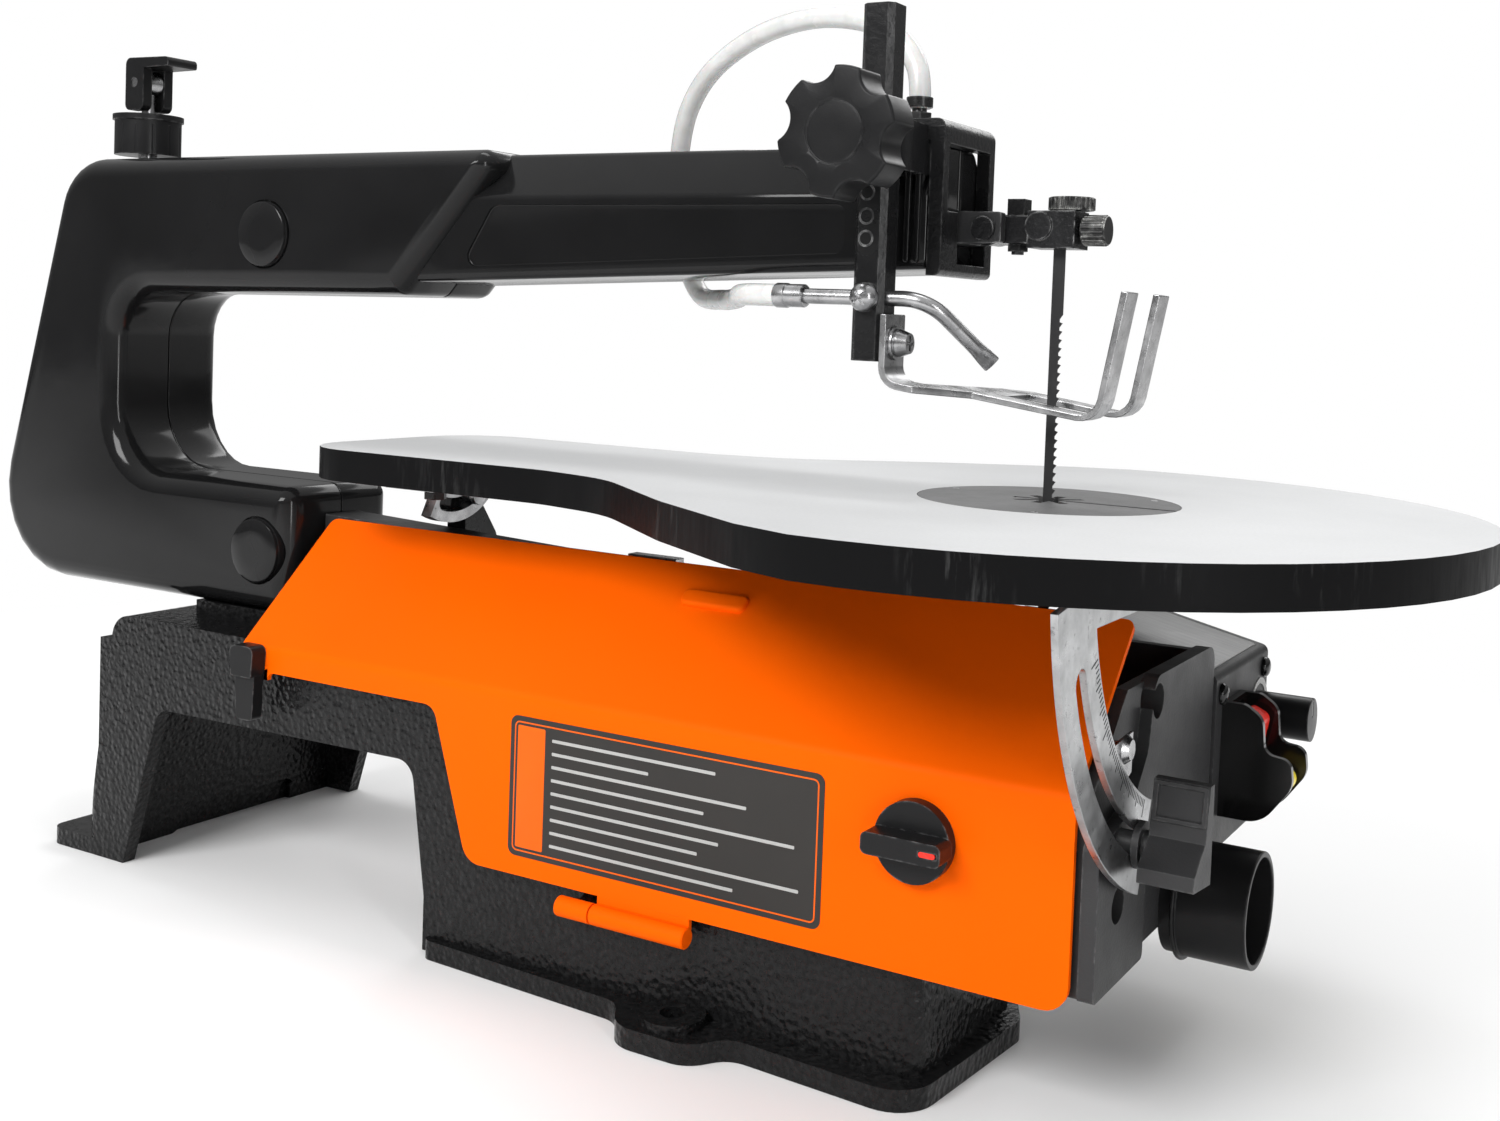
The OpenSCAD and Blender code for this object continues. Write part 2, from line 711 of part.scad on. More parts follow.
// the upper eye is a window round the arm's pin, wide enough for the crank's sweep
// and tall enough for the sweep and the arm's own travel together
module connecting_rod() {
  reach_x = crank_e + 3.4;
  reach_z = 2 * crank_e + 3.4;
  color([0.65, 0.66, 0.68])
    difference() {
      union() {
        bar_y(rod_x + crank_e, rod_y0, rod_y1, shaft_z, 16);
        block([rod_x + crank_e - 4.5, rod_y0, shaft_z], [rod_x + crank_e + 4.5, rod_y1, rod_top_z - reach_z]);
        block([rod_x + crank_e - 11, rod_y0, rod_top_z - reach_z - 4],
              [rod_x + crank_e + 11, rod_y1, rod_top_z + reach_z + 3]);
      }
      block([rod_x + crank_e - reach_x, 0, rod_top_z - reach_z],
            [rod_x + crank_e + reach_x, 20, rod_top_z + reach_z]);
      bar_y(rod_x + crank_e, 0, 20, shaft_z, 2 * (3 + gap));
    }
}

module rod_pin() {
  color([0.8, 0.8, 0.8]) bar_y(rod_x, -8.5, 17.5, rod_top_z, 6);
}

module motor_bracket() {
  color([0.2, 0.2, 0.21])
    difference() {
      along_y(30, 66) polygon([
        [rod_x - 45, base_floor_z], [rod_x + 45, base_floor_z], [rod_x + 45, base_floor_z + 5],
        [rod_x + 34, base_floor_z + 5], [rod_x + 34, shaft_z - 10], [rod_x - 34, shaft_z - 10],
        [rod_x - 34, base_floor_z + 5], [rod_x - 45, base_floor_z + 5]]);
      bar_y(rod_x, 0, 90, shaft_z, motor_d + 0.1);
      for (x = [-39.5, 39.5]) bar_z(rod_x + x, 48, -190, -150, 5);
    }
}

// ---------- base ----------

base_top_z = -78;
base_floor_z = bench_z + 7;
base_near = -52;
base_far = 84;
base_wall = 6;

// side view of the base's walls, with the arch between its rear leg and front block
base_side = [
  [-12, bench_z, 0], [-20, base_top_z, 4], [-389, base_top_z, 10], [-405, bench_z, 0],
  [-381, bench_z, 0], [-361, -114, 8], [-222, -112, 8], [-211, bench_z, 0]];

base_plan = [
  [-8, 6, 12], [-46, base_far, 12], [-405, base_far, 8], [-405, base_near, 6], [-14, -54, 8]];

module base_casting() {
  color([0.16, 0.16, 0.17])
    difference() {
      union() {
        intersection() {
          along_y(-70, 100) polygon(rounded(base_side));
          difference() {
            along_z(bench_z, base_top_z) polygon(rounded(base_plan));
            along_z(bench_z - 1, base_top_z - 6) polygon(rounded(inset(base_plan, base_wall)));
          }
        }
        // rear wall between the legs
        along_x(-403, -396) polygon(rounded([
          [base_near + 4, bench_z, 0], [base_near + 4, -90, 0], [base_far - 4, -90, 0],
          [base_far - 4, bench_z, 0], [base_far - 24, bench_z, 6], [base_far - 30, -172, 6],
          [-6, -172, 6], [-12, bench_z, 6]]));
        // wall at the back of the front block
        block([-217, base_near + 2, bench_z], [-211, base_far - 2, -110]);
        // foot flange of the front block
        difference() {
          along_z(bench_z, bench_z + 7) polygon(rounded([
            [-4, 6, 10], [-44, base_far + 4, 10], [-212, base_far + 4, 4], [-212, -56, 4],
            [-122, -60, 10], [-112, -75, 12], [-84, -75, 12], [-76, -62, 10], [-10, -66, 14]]));
          along_z(bench_z - 1, bench_z + 8) polygon(rounded(inset([
            [-8, 6, 12], [-46, base_far, 12], [-211, base_far, 4], [-211, base_near, 4], [-14, -54, 8]], 6)));
        }
        bar_z(-98, -62, bench_z, bench_z + 10, 22);
        // far lug that matches the near one
        along_z(bench_z, bench_z + 7) polygon(rounded([
          [-122, base_far - 4, 0], [-84, base_far - 4, 0], [-84, base_far + 17, 10], [-112, base_far + 17, 10],
          [-122, base_far + 6, 6]]));
        // feet behind the rear legs
        for (y = [base_near, base_far - 30])
          along_z(bench_z, bench_z + 7) polygon(rounded([
            [-396, y, 0], [-396, y + 30, 0], [-428, y + 30, 6], [-428, y, 6]]));
        // seat for the rear housing
        block([-370, -26, base_top_z - 1], [-306, 26, seat_z]);
        // webs that carry the motor bracket
        block([-214, 28, bench_z], [-112, 68, base_floor_z]);
      }
      bar_z(-98, -62, -190, -150, bench_hole_d);
      bar_z(-98, base_far + 6, -190, -150, bench_hole_d);
      for (y = [base_near + 15, base_far - 15]) bar_z(-414, y, -190, -150, bench_hole_d);
      // opening over the arm, connecting rod and motor
      along_z(-90, -70) polygon(rounded([[-34, -40, 6], [-34, 75, 6], [-292, 75, 6], [-292, -40, 6]]));
      for (x = [-39.5, 39.5]) bar_z(rod_x + x, 48, -190, -150, 5);
    }
}

// ---------- table ----------

slot_half = 1.6;

// plan of the table: round front, waisted sides, narrow rounded tail
table_plan = let (r = table_d / 2, w = table_tail_half)
  concat(
    [for (a = [-96:6:96]) [r * cos(a) - 3.5, r * sin(a)]],
    rounded_part([[-40, 130, 0], [-84, 101, 90], [-132, w + 8, 60], [-165, w, 60], [-table_rear, w, 28],
      [-table_rear, -w, 28], [-165, -w, 60], [-132, -w - 8, 60], [-84, -101, 90], [-40, -130, 0]]));

// fillets the inner corners of an open run of points
function rounded_part(pts) =
  [for (i = [0:len(pts) - 1])
    each (i == 0 || i == len(pts) - 1 ? [flat(pts[i])] : corner(pts[i - 1], pts[i], pts[i + 1], 6))];

function with_radius(pts) = [for (p = pts) [p[0], p[1], 0]];

rim_w = 6;

module table_top() {
  color([0.8, 0.8, 0.8])
    difference() {
      along_z(-rim_h, 0) polygon(table_plan);
      difference() {
        along_z(-rim_h - 1, -plate_h)
          polygon([for (p = inset(with_radius(table_plan), rim_w)) flat(p)]);
        bar_z(0, 0, -rim_h, 0, insert_d + 12);
        for (x = [-266, 28]) block([x, -30, -rim_h], [x + 32, 30, 0]);
      }
      bar_z(0, -1, -3.2, 1, insert_d + 0.4);
      bar_z(0, -1, -20, 0, insert_d - 16);
      for (p = insert_screw_spots) bar_z(p[0], p[1], -7, 0, 2.6);
      for (p = table_bolt_spots) bar_z(p[0], p[1], -20, -rim_h + 7.5, 5.04);
    }
}

table_bolt_spots = [[-243.5, -20], [-243.5, 20], [52.4, -20]];
insert_screw_spots = [for (a = [45, 165, 285]) [38 * cos(a), 38 * sin(a) - 1]];

module table_insert() {
  color([0.3, 0.3, 0.3])
    difference() {
      bar_z(0, -1, -3, 0, insert_d);
      for (a = [0, 45, 90, 135]) rotate([0, 0, a]) block([-12, -slot_half, -5], [12, slot_half, 1]);
      block([0, -slot_half, -5], [60, slot_half, 1]);
      for (p = insert_screw_spots) bar_z(p[0], p[1], -5, 1, 2.7);
    }
}

module insert_screws() {
  color([0.6, 0.6, 0.6])
    for (p = insert_screw_spots)
      difference() {
        bar_z(p[0], p[1], -6.8, 0, 2.4);
        bar_z(p[0], p[1], -0.8, 1, 1.2);
      }
}

scale_x = 45; // rear face of the bevel scale
scale_t = 2.2;
scale_out = 115.8;
scale_in = 88;
scale_mid = 102;
lock_angle = 246.4; // where the lock bolt crosses the scale, seen from the front
slot_w = 8;
tilt_max = 45;

// a ring segment about the tilt axis; angles run anticlockwise in the Y-Z plane from +Y
module ring_part(r0, r1, a0, a1, x0, x1) {
  translate([x0, 0, 0]) rotate([90, 0, 90]) rotate([0, 0, a0])
    rotate_extrude(angle = a1 - a0) translate([r0, 0]) square([r1 - r0, x1 - x0]);
}

module arc_slot(r, a0, a1, w, x0, x1) {
  ring_part(r - w / 2, r + w / 2, a0, a1, x0, x1);
  for (a = [a0, a1]) bar_x(x0, x1, r * cos(a), r * sin(a), w);
}

module bevel_scale() {
  color([0.78, 0.79, 0.8])
    difference() {
      union() {
        ring_part(scale_in, scale_out, 188, lock_angle + 4.5, scale_x, scale_x + scale_t);
        // top arm back to the table pad
        along_x(scale_x, scale_x + scale_t) polygon([
          [-112, -rim_h - 0.2], [-8, -rim_h - 0.2], [-8, -24], [-86, -24]]);
        block([scale_x, -80, -rim_h - 3], [58, -14, -rim_h - 0.2]);
      }
      arc_slot(scale_mid, lock_angle - tilt_max, lock_angle, slot_w, scale_x - 1, scale_x + 4);
      bar_z(52.4, -20, -30, 0, 5.1);
    }
}

stud_angle = 300; // where the rear stud crosses the slot, seen from the front
stud_r = 24;

module rear_trunnion() {
  color([0.35, 0.35, 0.36])
    difference() {
      union() {
        block([-262, -28, -rim_h - 4], [-238, 28, -rim_h - 0.2]);
        ring_part(17, 31, stud_angle - tilt_max - 12, stud_angle + 12, -256, -251);
        along_x(-256, -251) polygon([[-12, -rim_h - 3], [-12, -20], [14, -22], [24, -rim_h - 3]]);
      }
      arc_slot(stud_r, stud_angle - tilt_max, stud_angle, 5.6, -257, -250);
      for (y = [-20, 20]) bar_z(-243.5, y, -30, 0, 5.1);
    }
}

module table_bolts() {
  color([0.2, 0.2, 0.2])
    for (p = table_bolt_spots)
      let (z = p[0] < 0 ? -rim_h - 4 : -rim_h - 3) {
        bar_z(p[0], p[1], z - 0.1, -5, 5);
        translate([p[0], p[1], z - 3.6]) cylinder(h = 3.5, d = 9, $fn = 6);
      }
}

// upright bracket on the base that carries the stud of the rear trunnion
module table_brackets() {
  color([0.12, 0.12, 0.12])
    difference() {
      union() {
        along_x(-268, -258.4) polygon(rounded([
          [36, base_top_z, 0], [36, -40, 8], [19, -16.8, 4], [6, -16.8, 4], [6, -27, 3], [15, -31, 3],
          [15, base_top_z, 0]]));
        block([-306, 15, base_top_z], [-258.4, 40, base_top_z + 5]);
      }
      bar_x(-280, -250, stud_r * cos(stud_angle), stud_r * sin(stud_angle), 5.04);
    }
}

module trunnion_studs() {
  y = stud_r * cos(stud_angle);
  z = stud_r * sin(stud_angle);
  color([0.7, 0.7, 0.7]) {
    bar_x(-268, -249, y, z, 5);
    bar_x(-250.7, -248.3, y, z, 8);
  }
}

lock_y = scale_mid * cos(lock_angle);
lock_z = scale_mid * sin(lock_angle);

// a flanged bolt with an upright wing and a sloping wing at its end
module bevel_lock_knob() {
  wing_x0 = scale_x + 6.5;
  wing_x1 = scale_x + 23;
  color([0.14, 0.14, 0.14]) {
    bar_x(face_x - 14, scale_x + 4, lock_y, lock_z, 7.4);
    bar_x(scale_x + scale_t + 0.2, scale_x + 4.5, lock_y, lock_z, 14);
    bar_x(scale_x + 4, wing_x0 + 1, lock_y, lock_z, 9);
    translate([0, lock_y, lock_z])
      difference() {
        along_x(wing_x0, wing_x1) polygon([
          [3.5, 20.5], [-0.5, 20.5], [-2.6, 8], [-3.4, 4.4], [-13, -2.5], [-13.3, -6.8], [3.5, -8.7]]);
        rotate([9.6, 0, 0]) block([wing_x0 + 1.6, -6, 9.6], [wing_x1 - 1.6, -0.6, 19]);
      }
  }
}

// ---------- front housing ----------

body_low = -137;

module front_housing() {
  color([0.15, 0.15, 0.15])
    difference() {
      union() {
        along_x(face_x - 5, face_x) polygon(rounded([
          [-58.5, body_low, 2], [-14, body_low, 2], [-14, -100, 0], [53, -100, 2], [53, -50, 6],
          [-12, -50, 6], [-17, -72, 8], [-30, -86, 6], [-46, -90, 4], [-58.5, -90, 4]]));
        difference() {
          block([-6, -56, body_low], [face_x - 4, 53, -52]);
          block([-20, -52, body_low + 4], [face_x - 8, 49, -40]);
          along_x(-30, 60) polygon([[-90, -30], [-90, -112], [-58, -81.5], [-6, -31.7], [-6, -30]]);
        }
      }
      bar_x(face_x - 20, face_x + 5, -9, -58, 11);
      bar_x(face_x - 20, face_x + 5, -40, -113, 11);
      bar_x(face_x - 20, face_x + 5, lock_y, lock_z, 2 * (3.7 + gap));
      bar_x(face_x - 20, face_x + 5, port_y, port_z, port_d - 4);
      bar_x(face_x - 4.5, face_x + 5, port_y, port_z, port_d - 0.9);
      bar_x(face_x - 6, face_x + 5, -42, -66, 4.04);
      block([-16, -15, -70], [-2, 15, -48]);
    }
}

port_y = 33;
port_z = -131;
port_end = 66;

// tube with a spigot in the front housing and a collar against its face
module dust_port() {
  color([0.12, 0.12, 0.12])
    difference() {
      union() {
        bar_x(face_x - 4.4, face_x + 1, port_y, port_z, port_d - 1);
        bar_x(face_x + 0.05, face_x + 1.4, port_y, port_z, port_d + 3);
        bar_x(face_x + 1, port_end, port_y, port_z, port_d);
      }
      bar_x(0, port_end + 5, port_y, port_z, port_d - 4);
    }
}

module scale_pointer() {
  color([0.75, 0.75, 0.75]) {
    along_x(face_x, face_x + 1) polygon([[-52, -63], [-36, -62], [-36, -74], [-42, -76], [-54, -74]]);
    bar_x(face_x - 5.5, face_x + 1.5, -42, -66, 4);
    translate([face_x + 0.9, -42, -66]) rotate([0, 90, 0]) cylinder(h = 1.9, d1 = 9, d2 = 6);
  }
}

// ---------- control box ----------

box_near = 54;
box_far = 124;
box_face = 43;
box_low = -132;
box_high = -61;

box_side = [
  [box_face, box_low + 9, 2], [box_face, box_high, 3], [-20, box_high + 14, 3], [-20, box_low, 4],
  [box_face - 8, box_low, 2]];

box_screw_spots = [[box_near + 6, box_high - 7], [box_far - 6, box_high - 7], [box_far - 6, box_low + 16]];
paddle_y = 74;
paddle_z = -91;
dial_y = 112;
dial_z = -84;

module control_box() {
  color([0.17, 0.17, 0.17])
    difference() {
      union() {
        difference() {
          along_y(box_near, box_far) polygon(rounded(box_side));
          along_y(box_near + 3, box_far - 3) polygon(rounded(inset(box_side, 3)));
        }
        for (p = box_screw_spots) bar_x(box_face - 16, box_face - 1, p[0], p[1], 8);
      }
      for (p = box_screw_spots) bar_x(box_face - 14, box_face + 1, p[0], p[1], 3.5);
      bar_x(box_face - 9, box_face + 1, dial_y, dial_z, 6.1);
      block([box_face - 8, paddle_y - 8, paddle_z - 15], [box_face + 1, paddle_y + 8, paddle_z + 15]);
    }
}

module box_screws() {
  color([0.1, 0.1, 0.1])
    for (p = box_screw_spots)
      difference() {
        union() {
          bar_x(box_face - 13, box_face + 0.5, p[0], p[1], 3.4);
          translate([box_face + 0.05, p[0], p[1]]) rotate([0, 90, 0]) cylinder(h = 2.6, d1 = 7.5, d2 = 4.5);
        }
        block([box_face + 1.6, p[0] - 1.6, p[1] - 0.4], [box_face + 5, p[0] + 1.6, p[1] + 0.4]);
        block([box_face + 1.6, p[0] - 0.4, p[1] - 1.6], [box_face + 5, p[0] + 0.4, p[1] + 1.6]);
      }
}

// two fins beside the paddle, with a stepped front edge
fin_outline = [
  [box_face, paddle_z - 20, 3], [box_face + 15, paddle_z - 20, 11], [box_face + 25, paddle_z - 6, 8],
  [box_face + 24, paddle_z + 3, 4], [box_face + 15, paddle_z + 4, 4], [box_face + 14, paddle_z + 16, 6],
  [box_face + 8, paddle_z + 20, 4], [box_face, paddle_z + 20, 2]];

module switch_guard() {
  color([0.08, 0.08, 0.08])
    difference() {
      union() {
        for (y = [paddle_y - 12, paddle_y + 9.4])
          along_y(y, y + 2.6) polygon(rounded(fin_outline));
        block([box_face + 0.05, paddle_y - 12, paddle_z - 20], [box_face + 2.6, paddle_y + 12, paddle_z + 20]);
        block([box_face - 6, paddle_y - 7.8, paddle_z - 14.8], [box_face + 1, paddle_y + 7.8, paddle_z + 14.8]);
      }
      block([box_face - 5, paddle_y - 6.4, paddle_z - 13.4], [box_face + 5, paddle_y + 6.4, paddle_z + 13.4]);
      block([box_face, paddle_y - 6.4, paddle_z], [box_face + 5, paddle_y + 6.4, paddle_z + 18]);
      bar_y(box_face + 3.5, paddle_y - 11.2, paddle_y + 11.2, paddle_z, 2 * (1.5 + gap));
      block([box_face - 5, paddle_y - 8.6, paddle_z - 17.6], [box_face + 5, paddle_y + 8.6, paddle_z - 9.4]);
    }
}

module switch_paddle() {
  color([0.85, 0.12, 0.1])
    union() {
      bar_y(box_face + 3.5, paddle_y - 11, paddle_y + 11, paddle_z, 3);
      along_y(paddle_y - 6, paddle_y + 6) polygon(rounded([
        [box_face + 2, paddle_z - 4, 1], [box_face + 10, paddle_z + 0.5, 2], [box_face + 12.5, paddle_z + 14, 3],
        [box_face + 6, paddle_z + 17, 2], [box_face + 1.5, paddle_z + 10, 1]]));
    }
}

module safety_key() {
  color([0.95, 0.82, 0.2])
    union() {
      block([box_face - 4, paddle_y - 5, paddle_z - 14.5], [box_face + 6, paddle_y + 5, paddle_z - 10]);
      along_y(paddle_y - 7, paddle_y + 7) polygon(rounded([
        [box_face + 5, paddle_z - 18, 2], [box_face + 16, paddle_z - 17, 4], [box_face + 25, paddle_z - 5, 4],
        [box_face + 14, paddle_z - 2, 2], [box_face + 12, paddle_z - 8, 2], [box_face + 5, paddle_z - 8, 1]]));
    }
}

module speed_knob() {
  color([0.1, 0.1, 0.1])
    difference() {
      union() {
        bar_x(box_face - 8, box_face + 4, dial_y, dial_z, 6);
        bar_x(box_face + 0.4, box_face + 20, dial_y, dial_z, 16);
      }
      block([box_face + 19.3, dial_y - 0.6, dial_z + 1], [box_face + 21, dial_y + 0.6, dial_z + 9]);
    }
}

// ---------- side cover ----------

cover_t = 2;
hinge_z = -147;
hinge_y = side_y - 1.2;
cover_rear = -304;
cover_front = 35;
bend_z = -78;
lip_y = -12.4;
lip_z = -32.3;

// the sheet seen from the front: upright panel, bend and inclined lip
module cover_section() {
  d = cover_t * sin(22);
  polygon([
    [side_y, -150], [side_y, bend_z], [lip_y, lip_z], [lip_y + 1.4, lip_z - 1.5],
    [side_y + cover_t, bend_z - d], [side_y + cover_t, -150]]);
}

// the sheet seen from the side, with its stepped lower edge
cover_outline = [
  [cover_front, -141, 8], [cover_front, lip_z + 5, 0], [cover_rear, lip_z + 5, 0], [cover_rear, -91, 6],
  [-290, -91, 4], [-290, -87.5, 3], [-206, -87.5, 6], [-189, -141, 8]];

module side_cover() {
  color([1, 0.42, 0.05])
    difference() {
      union() {
        intersection() {
          along_x(cover_rear, cover_front) cover_section();
          along_y(-80, 10) polygon(rounded(cover_outline));
        }
        bar_x(-131.8, -94, hinge_y, hinge_z, 7);
        block([-131.8, side_y + 0.2, hinge_z], [-94, side_y + cover_t, -138]);
      }
      bar_x(-140, -90, hinge_y, hinge_z, 2 * (1.5 + gap));
      bar_y(cover_knob_x, -70, -50, cover_knob_z, 2 * (4 + gap));
      bar_y(latch_x, -70, -50, latch_z, 2 * (2 + gap));
    }
}

// fixed hinge knuckle with its leaf on the base, and the pin
module cover_hinge() {
  color([1, 0.42, 0.05]) {
    difference() {
      union() {
        bar_x(-146, -132.2, hinge_y, hinge_z, 7);
        block([-146, hinge_y, hinge_z - 3.5], [-132.2, base_near - 1.5, hinge_z - 0.5]);
      }
      bar_x(-147, -132, hinge_y, hinge_z, 3.02);
    }
    bar_x(-145.9, -94.5, hinge_y, hinge_z, 3);
  }
}

cover_knob_x = -14;
cover_knob_z = -99;
latch_x = -297;
latch_z = -86;

module cover_knob() {
  color([0.1, 0.1, 0.1])
    difference() {
      union() {
        bar_y(cover_knob_x, side_y - 4.5, side_y - 0.15, cover_knob_z, 25);
        bar_y(cover_knob_x, side_y - 5, side_y + 5, cover_knob_z, 8);
        along_y(side_y - 12.5, side_y - 4)
          polygon(rounded([
            [cover_knob_x + 13, cover_knob_z - 3.4, 2], [cover_knob_x + 13, cover_knob_z + 3.4, 2],
            [cover_knob_x - 13, cover_knob_z + 3.4, 2], [cover_knob_x - 13, cover_knob_z - 3.4, 2]]));
        block([cover_knob_x - 3.5, side_y + 2.4, cover_knob_z - 9], [cover_knob_x + 3.5, side_y + 3.8, cover_knob_z + 9]);
      }
      block([cover_knob_x + 6, side_y - 13, cover_knob_z - 0.8], [cover_knob_x + 12, side_y - 12, cover_knob_z + 0.8]);
    }
}

module cover_latch() {
  color([0.1, 0.1, 0.1]) {
    bar_y(latch_x, side_y - 2, side_y + 4, latch_z, 4);
    along_y(side_y - 7, side_y - 0.2) polygon(rounded([
      [latch_x + 5.5, latch_z - 3, 1], [latch_x + 6.5, latch_z + 9, 3], [latch_x - 6.5, latch_z + 9, 3],
      [latch_x - 5.5, latch_z - 3, 1]]));
    along_y(side_y - 5, side_y - 0.2) polygon(rounded([
      [latch_x + 4.5, latch_z - 20, 2], [latch_x + 5.5, latch_z, 1], [latch_x - 5.5, latch_z, 1],
      [latch_x - 4.5, latch_z - 20, 2]]));
  }
}

base_casting();
housing_left();
housing_right();
pivot_plugs();
housing_screws();
pivot_pins();
upper_arm();
lower_arm();
arm_bushes_upper();
arm_bushes_lower();
tension_rod();
tension_knob();
cam_lever();
bellows();
bellows_cap();
hose_nipple();
air_hose();
rod_clamp();
hold_down_rod();
hold_down_knob();
work_foot();
foot_screw();
air_nozzle();
nozzle_screw();
blade();
upper_holder();
lower_holder();
holder_bolts();
upper_clamp_screw();
lower_clamp_screw();
blade_wheel();
motor_can();
motor_caps();
motor_bracket();
motor_rotor();
eccentric();
connecting_rod();
rod_pin();
table_top();
table_insert();
insert_screws();
rear_trunnion();
bevel_scale();
table_bolts();
table_brackets();
trunnion_studs();
bevel_lock_knob();
front_housing();
dust_port();
control_box();
box_screws();
switch_guard();
switch_paddle();
safety_key();
speed_knob();
side_cover();
cover_hinge();
cover_knob();
cover_latch();
scale_pointer();
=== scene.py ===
import json
import math

import bmesh
import bpy
from mathutils import Matrix, Vector

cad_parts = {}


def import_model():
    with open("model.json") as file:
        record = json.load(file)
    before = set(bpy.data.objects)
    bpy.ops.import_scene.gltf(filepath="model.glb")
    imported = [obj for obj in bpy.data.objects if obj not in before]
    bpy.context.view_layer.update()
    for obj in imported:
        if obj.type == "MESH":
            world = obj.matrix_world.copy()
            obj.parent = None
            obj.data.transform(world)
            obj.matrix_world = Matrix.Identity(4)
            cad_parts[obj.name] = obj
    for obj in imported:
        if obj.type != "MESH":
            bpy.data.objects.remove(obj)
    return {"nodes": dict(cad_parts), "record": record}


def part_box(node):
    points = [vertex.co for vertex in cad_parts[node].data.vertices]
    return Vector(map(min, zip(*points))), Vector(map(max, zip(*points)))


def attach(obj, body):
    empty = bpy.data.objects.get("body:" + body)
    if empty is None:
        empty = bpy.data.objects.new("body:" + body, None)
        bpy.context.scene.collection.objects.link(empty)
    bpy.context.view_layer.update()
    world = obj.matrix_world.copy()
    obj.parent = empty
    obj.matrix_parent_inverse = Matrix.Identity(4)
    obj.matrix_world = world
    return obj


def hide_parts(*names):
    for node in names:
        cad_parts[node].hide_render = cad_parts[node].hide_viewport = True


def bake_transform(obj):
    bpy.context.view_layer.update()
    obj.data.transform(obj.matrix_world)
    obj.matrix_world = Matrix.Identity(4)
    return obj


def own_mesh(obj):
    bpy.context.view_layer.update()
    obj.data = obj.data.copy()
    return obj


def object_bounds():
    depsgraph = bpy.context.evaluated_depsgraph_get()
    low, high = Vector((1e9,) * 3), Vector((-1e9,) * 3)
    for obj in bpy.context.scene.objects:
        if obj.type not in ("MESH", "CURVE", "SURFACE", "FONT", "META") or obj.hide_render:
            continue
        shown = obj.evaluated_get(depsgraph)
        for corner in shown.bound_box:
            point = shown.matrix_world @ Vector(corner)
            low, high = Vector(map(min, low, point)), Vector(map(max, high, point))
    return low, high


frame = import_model()
cad_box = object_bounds()
nodes = frame["nodes"]
MM = 0.001


def span(node):
    """A CAD node's lowest and highest corners in millimetres."""
    return [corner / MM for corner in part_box(node)]


def middle(node):
    low, high = span(node)
    return (low + high) / 2


# ---------- places that several pieces share, in millimetres ----------

PIVOTS = [(-330, 82), (-330, -47.5)]  # the arms' pivots, as x and z
HALF_SCREWS = [(-462, 60), (-476, 0), (-470, -60), (-405, -67.5), (-262, 106)]  # x and z
ROD_X, ROD_Y, _ = middle("hold_down_rod")
ROD_NEAR = span("hold_down_rod")[0].y  # the rod's face on the user's left
NOZZLE_Z = middle("nozzle_screw").z
BOX_FACE = span("control_box")[1].x  # the control box's front
SIDE_Y = -60  # the outer face of the side cover's panel


# ---------- node materials ----------

LOOKS = {}
BLACK = (0.0105, 0.0105, 0.011)
WORN = (0.13, 0.13, 0.13)
BRIGHT_WEAR = (0.4, 0.4, 0.4)
USUAL_NOISE = (0.3, 0.7)  # nearly all of a noise texture's values lie between these
MIX_FACTOR, MIX_A, MIX_B, MIX_RESULT = 0, 6, 7, 2  # the colour sockets of a mix node


